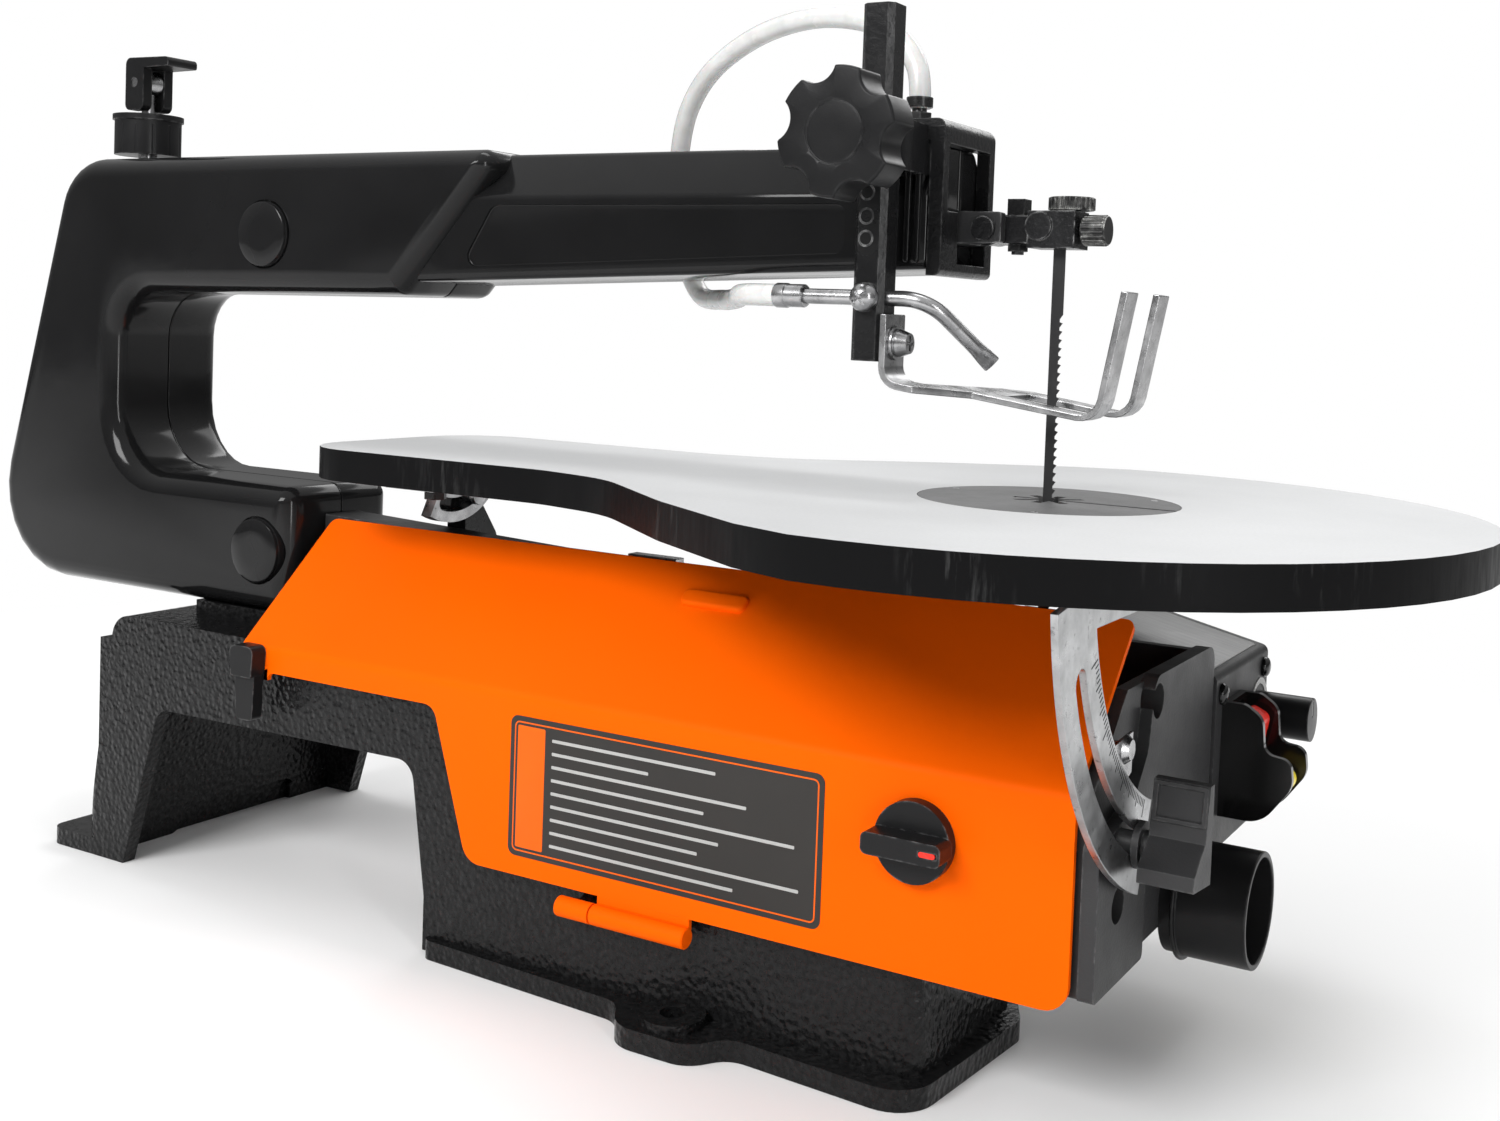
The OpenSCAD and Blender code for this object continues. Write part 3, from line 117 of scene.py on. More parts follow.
class Shader:
    """One procedural material, in the row frame's metres. done() adds it to LOOKS."""

    def __init__(self, name):
        self.name = name
        self.mat = bpy.data.materials.new(name)
        self.mat.use_nodes = True
        self.tree = self.mat.node_tree
        self.bsdf = self.tree.nodes["Principled BSDF"]
        self.place = self.add("ShaderNodeTexCoord").outputs["Object"]
        self.geometry = self.add("ShaderNodeNewGeometry")
        self.normal = None

    def add(self, kind, **values):
        node = self.tree.nodes.new(kind)
        for key, value in values.items():
            setattr(node, key, value)
        return node

    def link(self, a, b):
        self.tree.links.new(a, b)

    def put(self, socket, value):
        """Links an output to the socket, or sets a plain value on it."""
        if hasattr(value, "is_output"):
            self.link(value, socket)
        elif isinstance(value, (tuple, list)) and len(value) == 3 and socket.type == "RGBA":
            socket.default_value = (*value, 1)
        else:
            socket.default_value = value

    def noise(self, scale, detail=3, stretch=(1, 1, 1), rough=0.55):
        mapping = self.add("ShaderNodeMapping")
        mapping.inputs["Scale"].default_value = stretch
        self.link(self.place, mapping.inputs["Vector"])
        noise = self.add("ShaderNodeTexNoise")
        self.link(mapping.outputs["Vector"], noise.inputs["Vector"])
        noise.inputs["Scale"].default_value = scale
        noise.inputs["Detail"].default_value = detail
        noise.inputs["Roughness"].default_value = rough
        return noise.outputs["Fac"]

    def cells(self, scale, smooth):
        voronoi = self.add("ShaderNodeTexVoronoi", feature="SMOOTH_F1")
        self.link(self.place, voronoi.inputs["Vector"])
        voronoi.inputs["Scale"].default_value = scale
        voronoi.inputs["Smoothness"].default_value = smooth
        return voronoi.outputs["Distance"]

    def spread(self, value, low, high, to_low=0.0, to_high=1.0):
        """Maps low to high onto to_low to to_high, and holds the ends."""
        ramp = self.add("ShaderNodeMapRange")
        for socket, v in zip(("Value", "From Min", "From Max", "To Min", "To Max"),
                             (value, low, high, to_low, to_high)):
            self.put(ramp.inputs[socket], v)
        return ramp.outputs["Result"]

    def even(self, noise, to_low=0.0, to_high=1.0):
        """Spreads a noise over its whole usual range."""
        return self.spread(noise, *USUAL_NOISE, to_low, to_high)

    def mix(self, factor, a, b):
        mix = self.add("ShaderNodeMix", data_type="RGBA")
        self.put(mix.inputs[MIX_FACTOR], factor)
        self.put(mix.inputs[MIX_A], a)
        self.put(mix.inputs[MIX_B], b)
        return mix.outputs[MIX_RESULT]

    def math(self, operation, a, b):
        node = self.add("ShaderNodeMath", operation=operation)
        self.put(node.inputs[0], a)
        self.put(node.inputs[1], b)
        return node.outputs[0]

    def bump(self, height, depth_mm):
        """Adds bumps of this depth on top of the ones before."""
        node = self.add("ShaderNodeBump")
        self.put(node.inputs["Height"], height)
        node.inputs["Distance"].default_value = depth_mm * MM
        node.inputs["Strength"].default_value = 1.0
        if self.normal is not None:
            self.link(self.normal, node.inputs["Normal"])
        self.normal = node.outputs["Normal"]

    def edges(self, radius_mm=1.0, low=0.02, high=0.25):
        """1 on worn outer edges and 0 elsewhere, broken up by a fine noise."""
        bevel = self.add("ShaderNodeBevel", samples=4)
        bevel.inputs["Radius"].default_value = radius_mm * MM
        dot = self.add("ShaderNodeVectorMath", operation="DOT_PRODUCT")
        self.link(bevel.outputs["Normal"], dot.inputs[0])
        self.link(self.geometry.outputs["Normal"], dot.inputs[1])
        turned = self.math("SUBTRACT", 1.0, dot.outputs["Value"])
        broken = self.spread(self.noise(260, 4), 0.45, 0.62)
        return self.math("MULTIPLY", self.spread(turned, low, high), broken)

    def up(self):
        """How far the surface faces up, from -1 to 1."""
        split = self.add("ShaderNodeSeparateXYZ")
        self.link(self.geometry.outputs["Normal"], split.inputs[0])
        return split.outputs["Z"]

    def done(self, colour, rough, metal=0.0, **sockets):
        for socket, value in (("Base Color", colour), ("Roughness", rough), ("Metallic", metal)):
            self.put(self.bsdf.inputs[socket], value)
        for socket, value in sockets.items():
            self.put(self.bsdf.inputs[socket.replace("_", " ")], value)
        if self.normal is not None:
            self.link(self.normal, self.bsdf.inputs["Normal"])
        LOOKS[self.name] = self.mat
        return self.mat


def scaled(colour, k):
    return tuple(min(1.0, c * k) for c in colour)


def varied(shader, factor, colour, vary):
    """The colour, a little darker or lighter with the factor."""
    return shader.mix(factor, scaled(colour, 1 - vary), scaled(colour, 1 + vary))


def coated(name, colour, rough, grain, vary=0.35, coat=0.0, worn=None, metal=0.0, cloud=14, shine=0.3):
    """Paint, plastic or plated metal with clouded colour, uneven gloss, fine bumps and worn edges.
    rough is the least and most roughness, and grain the bumps' depth in millimetres and scale."""
    s = Shader(name)
    shade = varied(s, s.even(s.noise(cloud, 4)), colour, vary)
    gloss = s.even(s.noise(60, 5), *rough)
    if worn:
        shade = s.mix(s.edges(), shade, worn)
    depth_mm, scale = grain
    s.bump(s.noise(scale, 4), depth_mm)
    s.done(shade, gloss, metal, Coat_Weight=coat, Coat_Roughness=0.12, Specular_IOR_Level=shine)


def brushed(name, colour, rough, stretch=(1, 1, 1), metal=1.0, depth=0.03, vary=0.12, stains=None):
    """Bare metal with brush lines along the stretched axis, dull patches and dark stains."""
    s = Shader(name)
    lines = s.noise(160, 5, stretch)
    shade = varied(s, s.even(lines), colour, vary)
    shade = s.mix(s.spread(s.noise(28, 5), 0.5, 0.8, 0, 0.35), shade, scaled(colour, 0.6))
    if stains:
        shade = s.mix(s.spread(s.noise(300, 5, rough=0.7), 0.6, 0.7), shade, stains)
    s.bump(lines, depth)
    s.done(shade, s.even(s.noise(120, 5, stretch), *rough), metal)


def hammered(name, colour):
    """Thick black paint over a rough casting."""
    s = Shader(name)
    grain = s.noise(520, 5, rough=0.6)
    shade = s.mix(s.spread(grain, 0.35, 0.75), scaled(colour, 0.5), scaled(colour, 1.9))
    s.bump(s.noise(60, 2), 0.25)
    s.bump(s.cells(430, 0.55), 0.5)
    s.bump(s.noise(1100, 4), 0.16)
    s.done(shade, s.even(s.noise(300, 3), 0.1, 0.28), Specular_IOR_Level=0.22)


def table_look():
    """Satin light top, and a black rim with fine brushed streaks."""
    s = Shader("table_alloy")
    top = s.spread(s.up(), 0.55, 0.8)
    fine = s.noise(900, 4)
    light = s.mix(s.even(s.noise(9, 4)), (0.56, 0.565, 0.57), (0.61, 0.615, 0.62))
    light = s.mix(s.spread(fine, 0.4, 0.75, 0, 0.25), light, (0.47, 0.47, 0.47))
    streaks = s.noise(420, 5, (1, 1, 0.12), 0.62)
    patches = s.spread(s.noise(16, 2), 0.5, 0.68)
    marks = s.math("MULTIPLY", s.spread(streaks, 0.52, 0.72), patches)
    dark = s.mix(marks, (0.005, 0.005, 0.0053), (0.07, 0.07, 0.07))
    gloss_top = s.math("MULTIPLY", s.even(s.noise(40, 4), 0.5, 0.6), top)
    gloss_rim = s.math("MULTIPLY", s.even(streaks, 0.3, 0.5), s.math("SUBTRACT", 1.0, top))
    s.bump(fine, 0.01)
    s.bump(streaks, 0.012)
    s.done(s.mix(top, dark, light), s.math("ADD", gloss_top, gloss_rim),
           Specular_IOR_Level=s.spread(top, 0, 1, 0.05, 0.08))


def hose_look():
    """Milky tube: pale where it faces the eye, with painted shade making it greyer along its edges."""
    s = Shader("clear_hose")
    rim = s.add("ShaderNodeLayerWeight")
    rim.inputs["Blend"].default_value = 0.35
    milky = s.mix(s.even(s.noise(120, 4)), (0.6, 0.6, 0.59), (0.72, 0.72, 0.71))
    # painted shade: the colour turns grey where the tube's surface turns away from the eye
    shade = s.mix(s.spread(rim.outputs["Facing"], 0.45, 0.95, 0, 0.8), milky, (0.26, 0.27, 0.27))
    s.bump(s.noise(220, 3), 0.02)
    s.done(shade, s.even(s.noise(90, 3), 0.2, 0.32), Subsurface_Weight=0.15, Subsurface_Scale=0.002)


def castings_and_housings():
    coated("housing_paint", (0.0085, 0.0085, 0.0088), (0.08, 0.15), (0.03, 45), cloud=8, shine=0.22)
    coated("rough_black", (0.01, 0.01, 0.0105), (0.22, 0.36), (0.22, 520), worn=WORN, shine=0.25)
    hammered("base_paint", (0.0075, 0.0075, 0.0078))
    coated("cover_paint", (0.97, 0.118, 0.0005), (0.42, 0.52), (0.012, 700), vary=0.03, cloud=6, shine=0.03)
    coated("motor_shell", (0.035, 0.035, 0.037), (0.35, 0.5), (0.05, 300))
    brushed("motor_alloy", (0.42, 0.42, 0.43), (0.35, 0.5))
    coated("arm_alloy", (0.03, 0.03, 0.031), (0.3, 0.5), (0.2, 380), worn=(0.3, 0.3, 0.3))
    table_look()


def plastics():
    coated("black_plastic", BLACK, (0.26, 0.4), (0.03, 1400), worn=WORN, shine=0.18)
    coated("grained_plastic", (0.03, 0.03, 0.031), (0.42, 0.55), (0.12, 900), worn=WORN)
    coated("insert_plastic", (0.08, 0.08, 0.081), (0.4, 0.52), (0.06, 1300))
    coated("guard_plastic", (0.006, 0.006, 0.006), (0.12, 0.22), (0.01, 300), coat=0.3)
    coated("switch_red", (0.85, 0.03, 0.018), (0.2, 0.32), (0.02, 500), vary=0.12)
    coated("key_yellow", (1.0, 0.72, 0.04), (0.2, 0.32), (0.02, 500), vary=0.1)
    coated("rubber", (0.015, 0.015, 0.016), (0.5, 0.62), (0.03, 900))
    hose_look()


def metals():
    coated("black_steel", BLACK, (0.18, 0.32), (0.12, 420), worn=WORN, shine=0.25)
    brushed("bright_steel", (0.4, 0.4, 0.405), (0.2, 0.36), vary=0.25, depth=0.05, stains=(0.2, 0.2, 0.2))
    brushed("scale_steel", (0.42, 0.425, 0.43), (0.24, 0.4), vary=0.2, stains=(0.16, 0.16, 0.16))
    coated("holder_steel", (0.016, 0.016, 0.017), (0.16, 0.34), (0.3, 380), worn=BRIGHT_WEAR, metal=0.3)
    brushed("bronze", (0.6, 0.42, 0.2), (0.3, 0.45))
    coated("nipple_metal", (0.03, 0.03, 0.03), (0.2, 0.34), (0.03, 700), worn=BRIGHT_WEAR, metal=0.5)
    brushed("blade_steel", (0.035, 0.035, 0.036), (0.3, 0.45), (1, 1, 0.2), metal=0.6)
    coated("dark_knurl", (0.03, 0.03, 0.03), (0.25, 0.4), (0.05, 900), worn=(0.5, 0.5, 0.48), metal=0.4)


def films_and_inks():
    """The blank label, its plain bars and the blank plate."""
    coated("label_film", (0.036, 0.034, 0.032), (0.4, 0.5), (0.008, 1200), vary=0.1, shine=0.15)
    coated("label_ink", (0.85, 0.12, 0.004), (0.36, 0.46), (0.008, 1200), vary=0.08, shine=0.15)
    coated("label_pale", (0.42, 0.42, 0.41), (0.36, 0.46), (0.008, 1200), vary=0.1)
    brushed("plate_film", (0.22, 0.22, 0.22), (0.3, 0.42), (0.2, 5, 1), metal=0.7)


castings_and_housings()
plastics()
metals()
films_and_inks()


# ---------- mesh helpers ----------

CORNER_STEPS, RIM_STEPS = 6, 5  # how finely fillets and rounded rims are drawn
TINY = 2e-6  # metres; closer points than this are one point
# the record's slot for each look that has no slot of its own
FINISH_OF = {"grained_plastic": "black_plastic", "label_film": "black_plastic", "label_ink": "cover_paint",
             "label_pale": "insert_plastic", "plate_film": "bright_steel"}


def smooth(obj, flat_angle=None):
    """Shades smoothly, but sharply over edges that turn by more than flat_angle degrees."""
    obj.data.polygons.foreach_set("use_smooth", [True] * len(obj.data.polygons))
    if flat_angle:
        obj.data.set_sharp_from_angle(angle=math.radians(flat_angle))


def bevel_edges(obj, width_mm, angle):
    bevel = obj.modifiers.new("edge", "BEVEL")
    bevel.width = width_mm * MM
    bevel.segments = 2
    bevel.limit_method = "ANGLE"
    bevel.angle_limit = math.radians(angle)
    return bevel


def finish_edges(obj, width_mm):
    """Rounds an object's sharp edges without touching its own mesh."""
    smooth(obj)
    obj.modifiers.new("weld", "WELD").merge_threshold = 1e-5
    flat = obj.modifiers.new("flat", "DECIMATE")
    flat.decimate_type = "DISSOLVE"
    flat.angle_limit = math.radians(0.7)
    if width_mm:
        bevel_edges(obj, width_mm, 32).miter_outer = "MITER_ARC"
    obj.modifiers.new("normals", "WEIGHTED_NORMAL").weight = 60


def new_object(name, bm):
    """An object of the bmesh, in the scene."""
    mesh = bpy.data.meshes.new(name)
    bm.to_mesh(mesh)
    bm.free()
    obj = bpy.data.objects.new(name, mesh)
    bpy.context.scene.collection.objects.link(obj)
    return obj


def piece(name, bm, look, body, replaced=(), flat_angle=35):
    """A visible piece that rides on a body, when one is given."""
    bmesh.ops.remove_doubles(bm, verts=bm.verts, dist=TINY)
    bmesh.ops.recalc_face_normals(bm, faces=bm.faces)
    obj = new_object(name, bm)
    obj.data.materials.append(LOOKS[look])
    smooth(obj, flat_angle)
    if body:
        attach(obj, body)
    if replaced:
        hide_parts(*replaced)
    FINISH_OF.get(look, look)
    return obj


def rectangle(x0, x1, y0, y1, r, r_top=None):
    """Anticlockwise [x, y, radius] corners; the two top ones may have their own radius."""
    r_top = r if r_top is None else r_top
    return [(x1, y0, r), (x1, y1, r_top), (x0, y1, r_top), (x0, y0, r)]


def corner_points(a, b, c, steps):
    """The fillet of corner b = (x, y, radius) as steps + 1 points."""
    p, q, r = Vector(a[:2]), Vector(b[:2]), Vector(c[:2])
    u, w = (p - q).normalized(), (r - q).normalized()
    if b[2] <= 0:
        return [q.copy() for _ in range(steps + 1)]
    half = math.acos(max(-1, min(1, u.dot(w)))) / 2
    mid = q + (u + w).normalized() * (b[2] / math.sin(half))
    first = q + u * (b[2] / math.tan(half)) - mid
    last = q + w * (b[2] / math.tan(half)) - mid
    a0 = math.atan2(first.y, first.x)
    turn = math.atan2(last.y, last.x) - a0
    turn = (turn + math.pi) % (2 * math.pi) - math.pi
    angles = [a0 + turn * k / steps for k in range(steps + 1)]
    return [mid + b[2] * Vector((math.cos(t), math.sin(t))) for t in angles]


def corner_triples(pts):
    """Each corner with the ones before and after it."""
    return zip(pts[-1:] + pts[:-1], pts, pts[1:] + pts[:1])


def rounded(pts, steps=CORNER_STEPS):
    """An outline of [x, y, radius] corners as points, with its fillets drawn."""
    return [p for corners in corner_triples(pts) for p in corner_points(*corners, steps)]


def inset(pts, d):
    """An anticlockwise outline of [x, y, radius] corners moved inwards by d."""
    out = []
    for corners in corner_triples(pts):
        a, b, c = (Vector(p[:2]) for p in corners)
        u, w = (b - a).normalized(), (c - b).normalized()
        s, t = Vector((-u.y, u.x)), Vector((-w.y, w.x))
        m = b + (s + t) * (d / (1 + s.dot(t)))
        radius = corners[1][2]
        outer_corner = u.x * w.y - u.y * w.x > 0
        out.append((m.x, m.y, max(radius - d, 0) if outer_corner else radius + d))
    return out


def rings(bm, loops, cap=True):
    """Skins a run of closed loops of points, given in millimetres."""
    rows = [[bm.verts.new(Vector(p) * MM) for p in loop] for loop in loops]
    n = len(rows[0])
    for a, b in zip(rows, rows[1:]):
        for k in range(n):
            bm.faces.new((a[k], a[(k + 1) % n], b[(k + 1) % n], b[k]))
    if cap:
        bm.faces.new(rows[0][::-1])
        bm.faces.new(rows[-1])
    return bm


def edge_levels(low, high, r_low, r_high, steps=RIM_STEPS):
    """(level, inset) pairs of a slab whose two rims are rounded."""
    turns = [math.pi / 2 * k / steps for k in range(steps + 1)]
    bottom = [(low + r_low * (1 - math.sin(t)), r_low * (1 - math.cos(t))) for t in turns]
    top = [(high - r_high * (1 - math.sin(t)), r_high * (1 - math.cos(t))) for t in turns]
    return bottom[::-1] + top


def slab(corners, low, high, r_low, r_high, place, bm=None, steps=(CORNER_STEPS, RIM_STEPS)):
    """A plate of an outline with rounded rims; place maps (x, y, level) to the row frame."""
    corner_steps, rim_steps = steps
    loops = []
    for level, d in edge_levels(low, high, r_low, r_high, rim_steps):
        loops.append([place(p.x, p.y, level) for p in rounded(inset(corners, d), corner_steps)])
    return rings(bm or bmesh.new(), loops)


def band(corners, section, place):
    """A closed ring along an outline; its section is a run of (inset, level) pairs."""
    loops = [[place(p.x, p.y, level) for p in rounded(inset(corners, d), 5)] for d, level in section]
    return rings(bmesh.new(), loops + [loops[0]], cap=False)


def xz(x, z, y):
    return (x, y, z)


def yz(y, z, x):
    return (x, y, z)


def lathe(profile, place, around=48, radius=None, bm=None):
    """Turns (radius, height) pairs; radius(angle, r) may shape each turn."""
    loops = []
    for r, h in profile:
        loop = []
        for k in range(around):
            a = 2 * math.pi * k / around
            rr = radius(a, r) if radius else r
            loop.append(place(rr * math.cos(a), rr * math.sin(a), h))
        loops.append(loop)
    return rings(bm or bmesh.new(), loops)


def along_y(x, y, z, side=1):
    """A lathe place with its axis through (x, z); heights run from y to the given side."""
    return lambda a, b, h: (x + a, y + side * h, z + b)


def along_x(x, y, z):
    """A lathe place with its axis through (y, z); heights run forward from x."""
    return lambda a, b, h: (x + h, y + a, z + b)


def subtract(obj, cutters):
    """Cuts the cutters' shapes out of obj and applies it."""
    total = bmesh.new()
    for bm in cutters:
        bmesh.ops.recalc_face_normals(bm, faces=bm.faces)
        part = bpy.data.meshes.new("part")
        bm.to_mesh(part)
        bm.free()
        total.from_mesh(part)
        bpy.data.meshes.remove(part)
    cutter = new_object("cutter", total)
    boolean = obj.modifiers.new("cut", "BOOLEAN")
    boolean.object = cutter
    boolean.operation = "DIFFERENCE"
    boolean.solver = "EXACT"
    bpy.context.view_layer.update()
    deps = bpy.context.evaluated_depsgraph_get()
    cut_mesh = bpy.data.meshes.new_from_object(obj.evaluated_get(deps))
    obj.modifiers.remove(boolean)
    obj.data = cut_mesh
    bpy.data.objects.remove(cutter)
    smooth(obj, 35)


# ---------- C-frame housings ----------

HOUSING_HALF = 30  # from the joint between the halves to an outer face
SEAM = 0.25  # half of the fine gap between the halves
# the corners of the rear housing from the side: x, z and radius
REAR = [(-208, 115, 6), (-457, 115, 26), (-512, -73, 40), (-313, -73, 5),
        (-313, -20.5, 7), (-422, -20.5, 28), (-422, 57, 20), (-258, 59, 6)]
# the arm housing in front of it
NOSE_HALF, NOSE_TOP, NOSE_SHOULDER = 24, 114, 97


def nose_section(side, x, d):
    """The arm housing's section at x, moved inwards by d; its underside rises to the front."""
    bottom = 62.5 + (x + 300) * 10.5 / 264
    pts = [(NOSE_HALF, NOSE_SHOULDER, 4), (12, NOSE_TOP, 4), (SEAM, NOSE_TOP, 0), (SEAM, bottom, 0),
           (NOSE_HALF, bottom, 3)]
    pts = [(side * y, z, r) for y, z, r in pts]
    return rounded(inset(pts if side > 0 else pts[::-1], d), 5)


def rear_half(side, name):
    """One half of the rear housing, with its plug holes and the right half's screw holes."""
    bm = slab(REAR, SEAM, HOUSING_HALF, 0.5, 9, lambda x, z, h: (x, side * h, z), steps=(7, 7))
    obj = piece(name + "_skin", bm, "housing_paint", "frame", (name,))
    holes = [lathe([(14.1, 26.8), (14.1, 40)], along_y(x, 0, z, side)) for x, z in PIVOTS]
    if side > 0:
        holes += [lathe([(4.8, 26.9), (4.8, 40)], along_y(x, 0, z)) for x, z in HALF_SCREWS]
    subtract(obj, holes)


def nose_half(side, name):
    """One half of the arm housing. The left one has a sunk panel and two ribs at its front."""
    stations = ((-262, 0), (-200, 0), (-120, 0), (-37.4, 0), (-36.8, 0.3), (-36.3, 1))
    loops = [[(x, p.x, p.y) for p in nose_section(side, x, d)] for x, d in stations]
    arm = piece(name + "_nose", rings(bmesh.new(), loops), "housing_paint", "frame")
    if side > 0:
        return
    panel = [(-66, 94, 4), (-216, 94, 5), (-231, 70.5, 4), (-66, 77.5, 4)]
    subtract(arm, [slab(panel, -26, -22.9, 0, 0.5, xz)])
    for x in (-43, -39.5):
        rib = slab(rectangle(x - 1.1, x + 1.1, 75, 111, 1), -25.4, -20, 0.8, 0, xz)
        piece("nose_rib_%d" % -x, rib, "housing_paint", "frame")


for side, name in ((-1, "housing_left"), (1, "housing_right")):
    rear_half(side, name)
    nose_half(side, name)


def plug_caps():
    """Low round caps over the arm pivots, proud of the housings."""
    profile = [(13.2, 29.5), (13.3, 31.2), (13.0, 31.9), (12.4, 32.2), (6, 32.25), (0.3, 32.25)]
    for side, name in ((-1, "plug_caps_left"), (1, "plug_caps_right")):
        bm = bmesh.new()
        for x, z in PIVOTS:
            lathe(profile, along_y(x, 0, z, side), 56, bm=bm)
        piece(name, bm, "housing_paint", "frame")


plug_caps()


# ---------- blade with real teeth ----------

def toothed_blade():
    low, high = -44, 83
    first_tooth, last_tooth = -40, 58
    half_width, half_thick = 2.0, 0.28
    pitch, depth = 2.7, 1.05
    line = [(-half_width, low), (half_width, low)]
    z = first_tooth
    while z < last_tooth:
        gullet = half_width - depth
        line += [(half_width, z), (gullet, z + 0.35), (gullet, z + pitch * 0.45)]
        z += pitch
    line += [(half_width, z), (half_width, high), (-half_width, high)]
    bm = rings(bmesh.new(), [[(x, y, z) for x, z in line] for y in (-half_thick, half_thick)])
    piece("blade_toothed", bm, "blade_steel", "blade_set", ("blade",), flat_angle=20)


toothed_blade()


# ---------- air hose and nozzle ----------

HOSE_X, HOSE_R, HOSE_BORE_R = -52, 3.7, 2.6  # where the hose stands on its nipple, and its radii
HOSE_END_X, HOSE_STOP_X = -83.5, -79.5  # the last straight length, over the ferrule
HOSE = [(HOSE_X, 0, 122), (HOSE_X, 0, 133), (-54.5, 1, 143), (-62.5, 2, 152.5), (-76, 4, 159),
        (-98, 8, 162), (-124, 14, 158.5), (-147, 20, 148.5), (-161, 25, 135), (-167, 28, 118), (-168, 30, 98),
        (-165, 30, 79), (-154, 26, 63.5), (-133, 9, 61.5), (-114, -12, 62), (-100, -31, NOZZLE_Z),
        (HOSE_END_X, ROD_Y, NOZZLE_Z), (-70, ROD_Y, NOZZLE_Z)]


def spline(a, b, c, d, t):
    """A smooth curve from b to c, where a and d are the knots on either side."""
    a, b, c, d = (Vector(p) for p in (a, b, c, d))
    return b + ((c - a) * t + (2 * a - 5 * b + 4 * c - d) * t * t + (3 * b - a - 3 * c + d) * t ** 3) / 2


def sweep(path, radii, sides=20, thin=None):
    """Loops of a tube along a path; radii and thin hold the half widths at each point."""
    thin = thin or radii
    turns = [2 * math.pi * k / sides for k in range(sides)]
    loops = []
    side = Vector((0, 1, 0))
    for i, p in enumerate(path):
        ahead = (path[min(i + 1, len(path) - 1)] - path[max(i - 1, 0)]).normalized()
        side = (side - ahead * side.dot(ahead)).normalized()
        across = ahead.cross(side)
        loops.append([p + radii[i] * math.cos(t) * side + thin[i] * math.sin(t) * across for t in turns])
    return loops


def hose():
    """The tube in two lengths: the first stays with the arm, and the end is a length of its own."""
    path = [Vector((HOSE_X, 0, z)) for z in (127.6, 130)]
    for i in range(1, len(HOSE) - 2):
        path += [spline(*HOSE[i - 1:i + 3], k / 6) for k in range(6)]
    path += [Vector((x, ROD_Y, NOZZLE_Z)) for x in (HOSE_END_X, HOSE_STOP_X)]
    outer = sweep(path, [HOSE_R] * len(path))
    inner = sweep(path, [HOSE_BORE_R] * len(path))
    cut = next(i for i, p in enumerate(path) if p.z < 70 and p.y < -20)

    def length(first, last):
        loops = outer[first:last] + inner[first:last][::-1]
        return rings(bmesh.new(), loops + [loops[0]], cap=False)

    piece("air_hose_tube", length(0, cut + 1), "clear_hose", "frame", ("air_hose",))
    end = piece("air_hose_end", length(cut, len(path)), "clear_hose", None)
    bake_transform(end)


hose()


def nozzle():
    """Tube with a leaning bend and a flattened tip, and the ferrule at its hose end."""
    bend_x, bend_r, bend, lean = -37, 14, math.radians(64), math.radians(46)
    tube_r = 2.5
    past_bend = (2, 8, 13, 15, 17, 19, 21, 22.6, 23)
    flattened = ((2.55, 2.4), (2.7, 1.9), (2.85, 1.3), (2.95, 0.95), (3.0, 0.8), (2.8, 0.65))
    down = Vector((0, math.sin(lean), -math.cos(lean)))
    path = [Vector((x, ROD_Y, NOZZLE_Z)) for x in (HOSE_STOP_X, -60, bend_x - 1)]
    for k in range(13):
        a = bend * k / 12
        along = Vector((bend_x + bend_r * math.sin(a), ROD_Y, NOZZLE_Z))
        path.append(along + down * (bend_r * (1 - math.cos(a))))
    ahead = Vector((math.cos(bend), 0, 0)) + down * math.sin(bend)
    path += [path[-1] + ahead * d for d in past_bend]
    round_part = [tube_r] * (len(path) - len(flattened))
    wide = round_part + [w for w, t in flattened]
    thin = round_part + [t for w, t in flattened]
    bm = rings(bmesh.new(), sweep(path, thin, 24, wide))
    piece("air_nozzle_tube", bm, "bright_steel", "air_nozzle", ("air_nozzle",))
    ferrule = [(2.6, 0), (3.9, 0), (4.1, 0.4), (4.1, 4), (3.8, 4.4), (3.8, 10.4), (3.5, 10.8), (2.5, 11)]
    bm = lathe(ferrule, along_x(-82.6, ROD_Y, NOZZLE_Z), 32)
    piece("nozzle_ferrule", bm, "bright_steel", "air_nozzle")


def nozzle_head():
    """Domed screw head with a cross recess, in front of the rod."""
    base_y = ROD_NEAR + 0.7
    recess_floor, past_head = base_y - 4.6, base_y - 8.6
    slot_half, slot_reach, turn = 0.55, 3.0, 0.6
    profile = [(3.2, 0), (4.3, 0.6), (4.7, 1.8), (4.6, 3.0), (4.0, 4.4), (2.9, 5.5), (1.5, 6.1), (0.3, 6.25)]
    bm = lathe(profile, along_y(ROD_X, base_y, NOZZLE_Z, -1), 40)
    obj = piece("nozzle_screw_head", bm, "bright_steel", "hold_down", ("nozzle_screw",))
    c, s = math.cos(turn), math.sin(turn)
    for w, h in ((slot_reach, slot_half), (slot_half, slot_reach)):
        corners = [(w, -h), (w, h), (-w, h), (-w, -h)]
        loops = [[(ROD_X + a * c - b * s, y, NOZZLE_Z + a * s + b * c) for a, b in corners]
                 for y in (recess_floor, past_head)]
        subtract(obj, [rings(bmesh.new(), loops)])


nozzle()
nozzle_head()


# ---------- hold-down rod and its knob ----------

def rod_marks():
    """Three round marks on the rod's near face."""
    bm = bmesh.new()
    profile = [(1.9, -0.2), (2.0, 0.03), (2.35, 0.035), (2.7, 0.03), (2.8, -0.2)]
    for z in (81.5, 88.5, 96):
        lathe(profile, along_y(ROD_X - 1, ROD_NEAR, z, -1), 28, bm=bm)
    piece("rod_marks", bm, "arm_alloy", "hold_down")


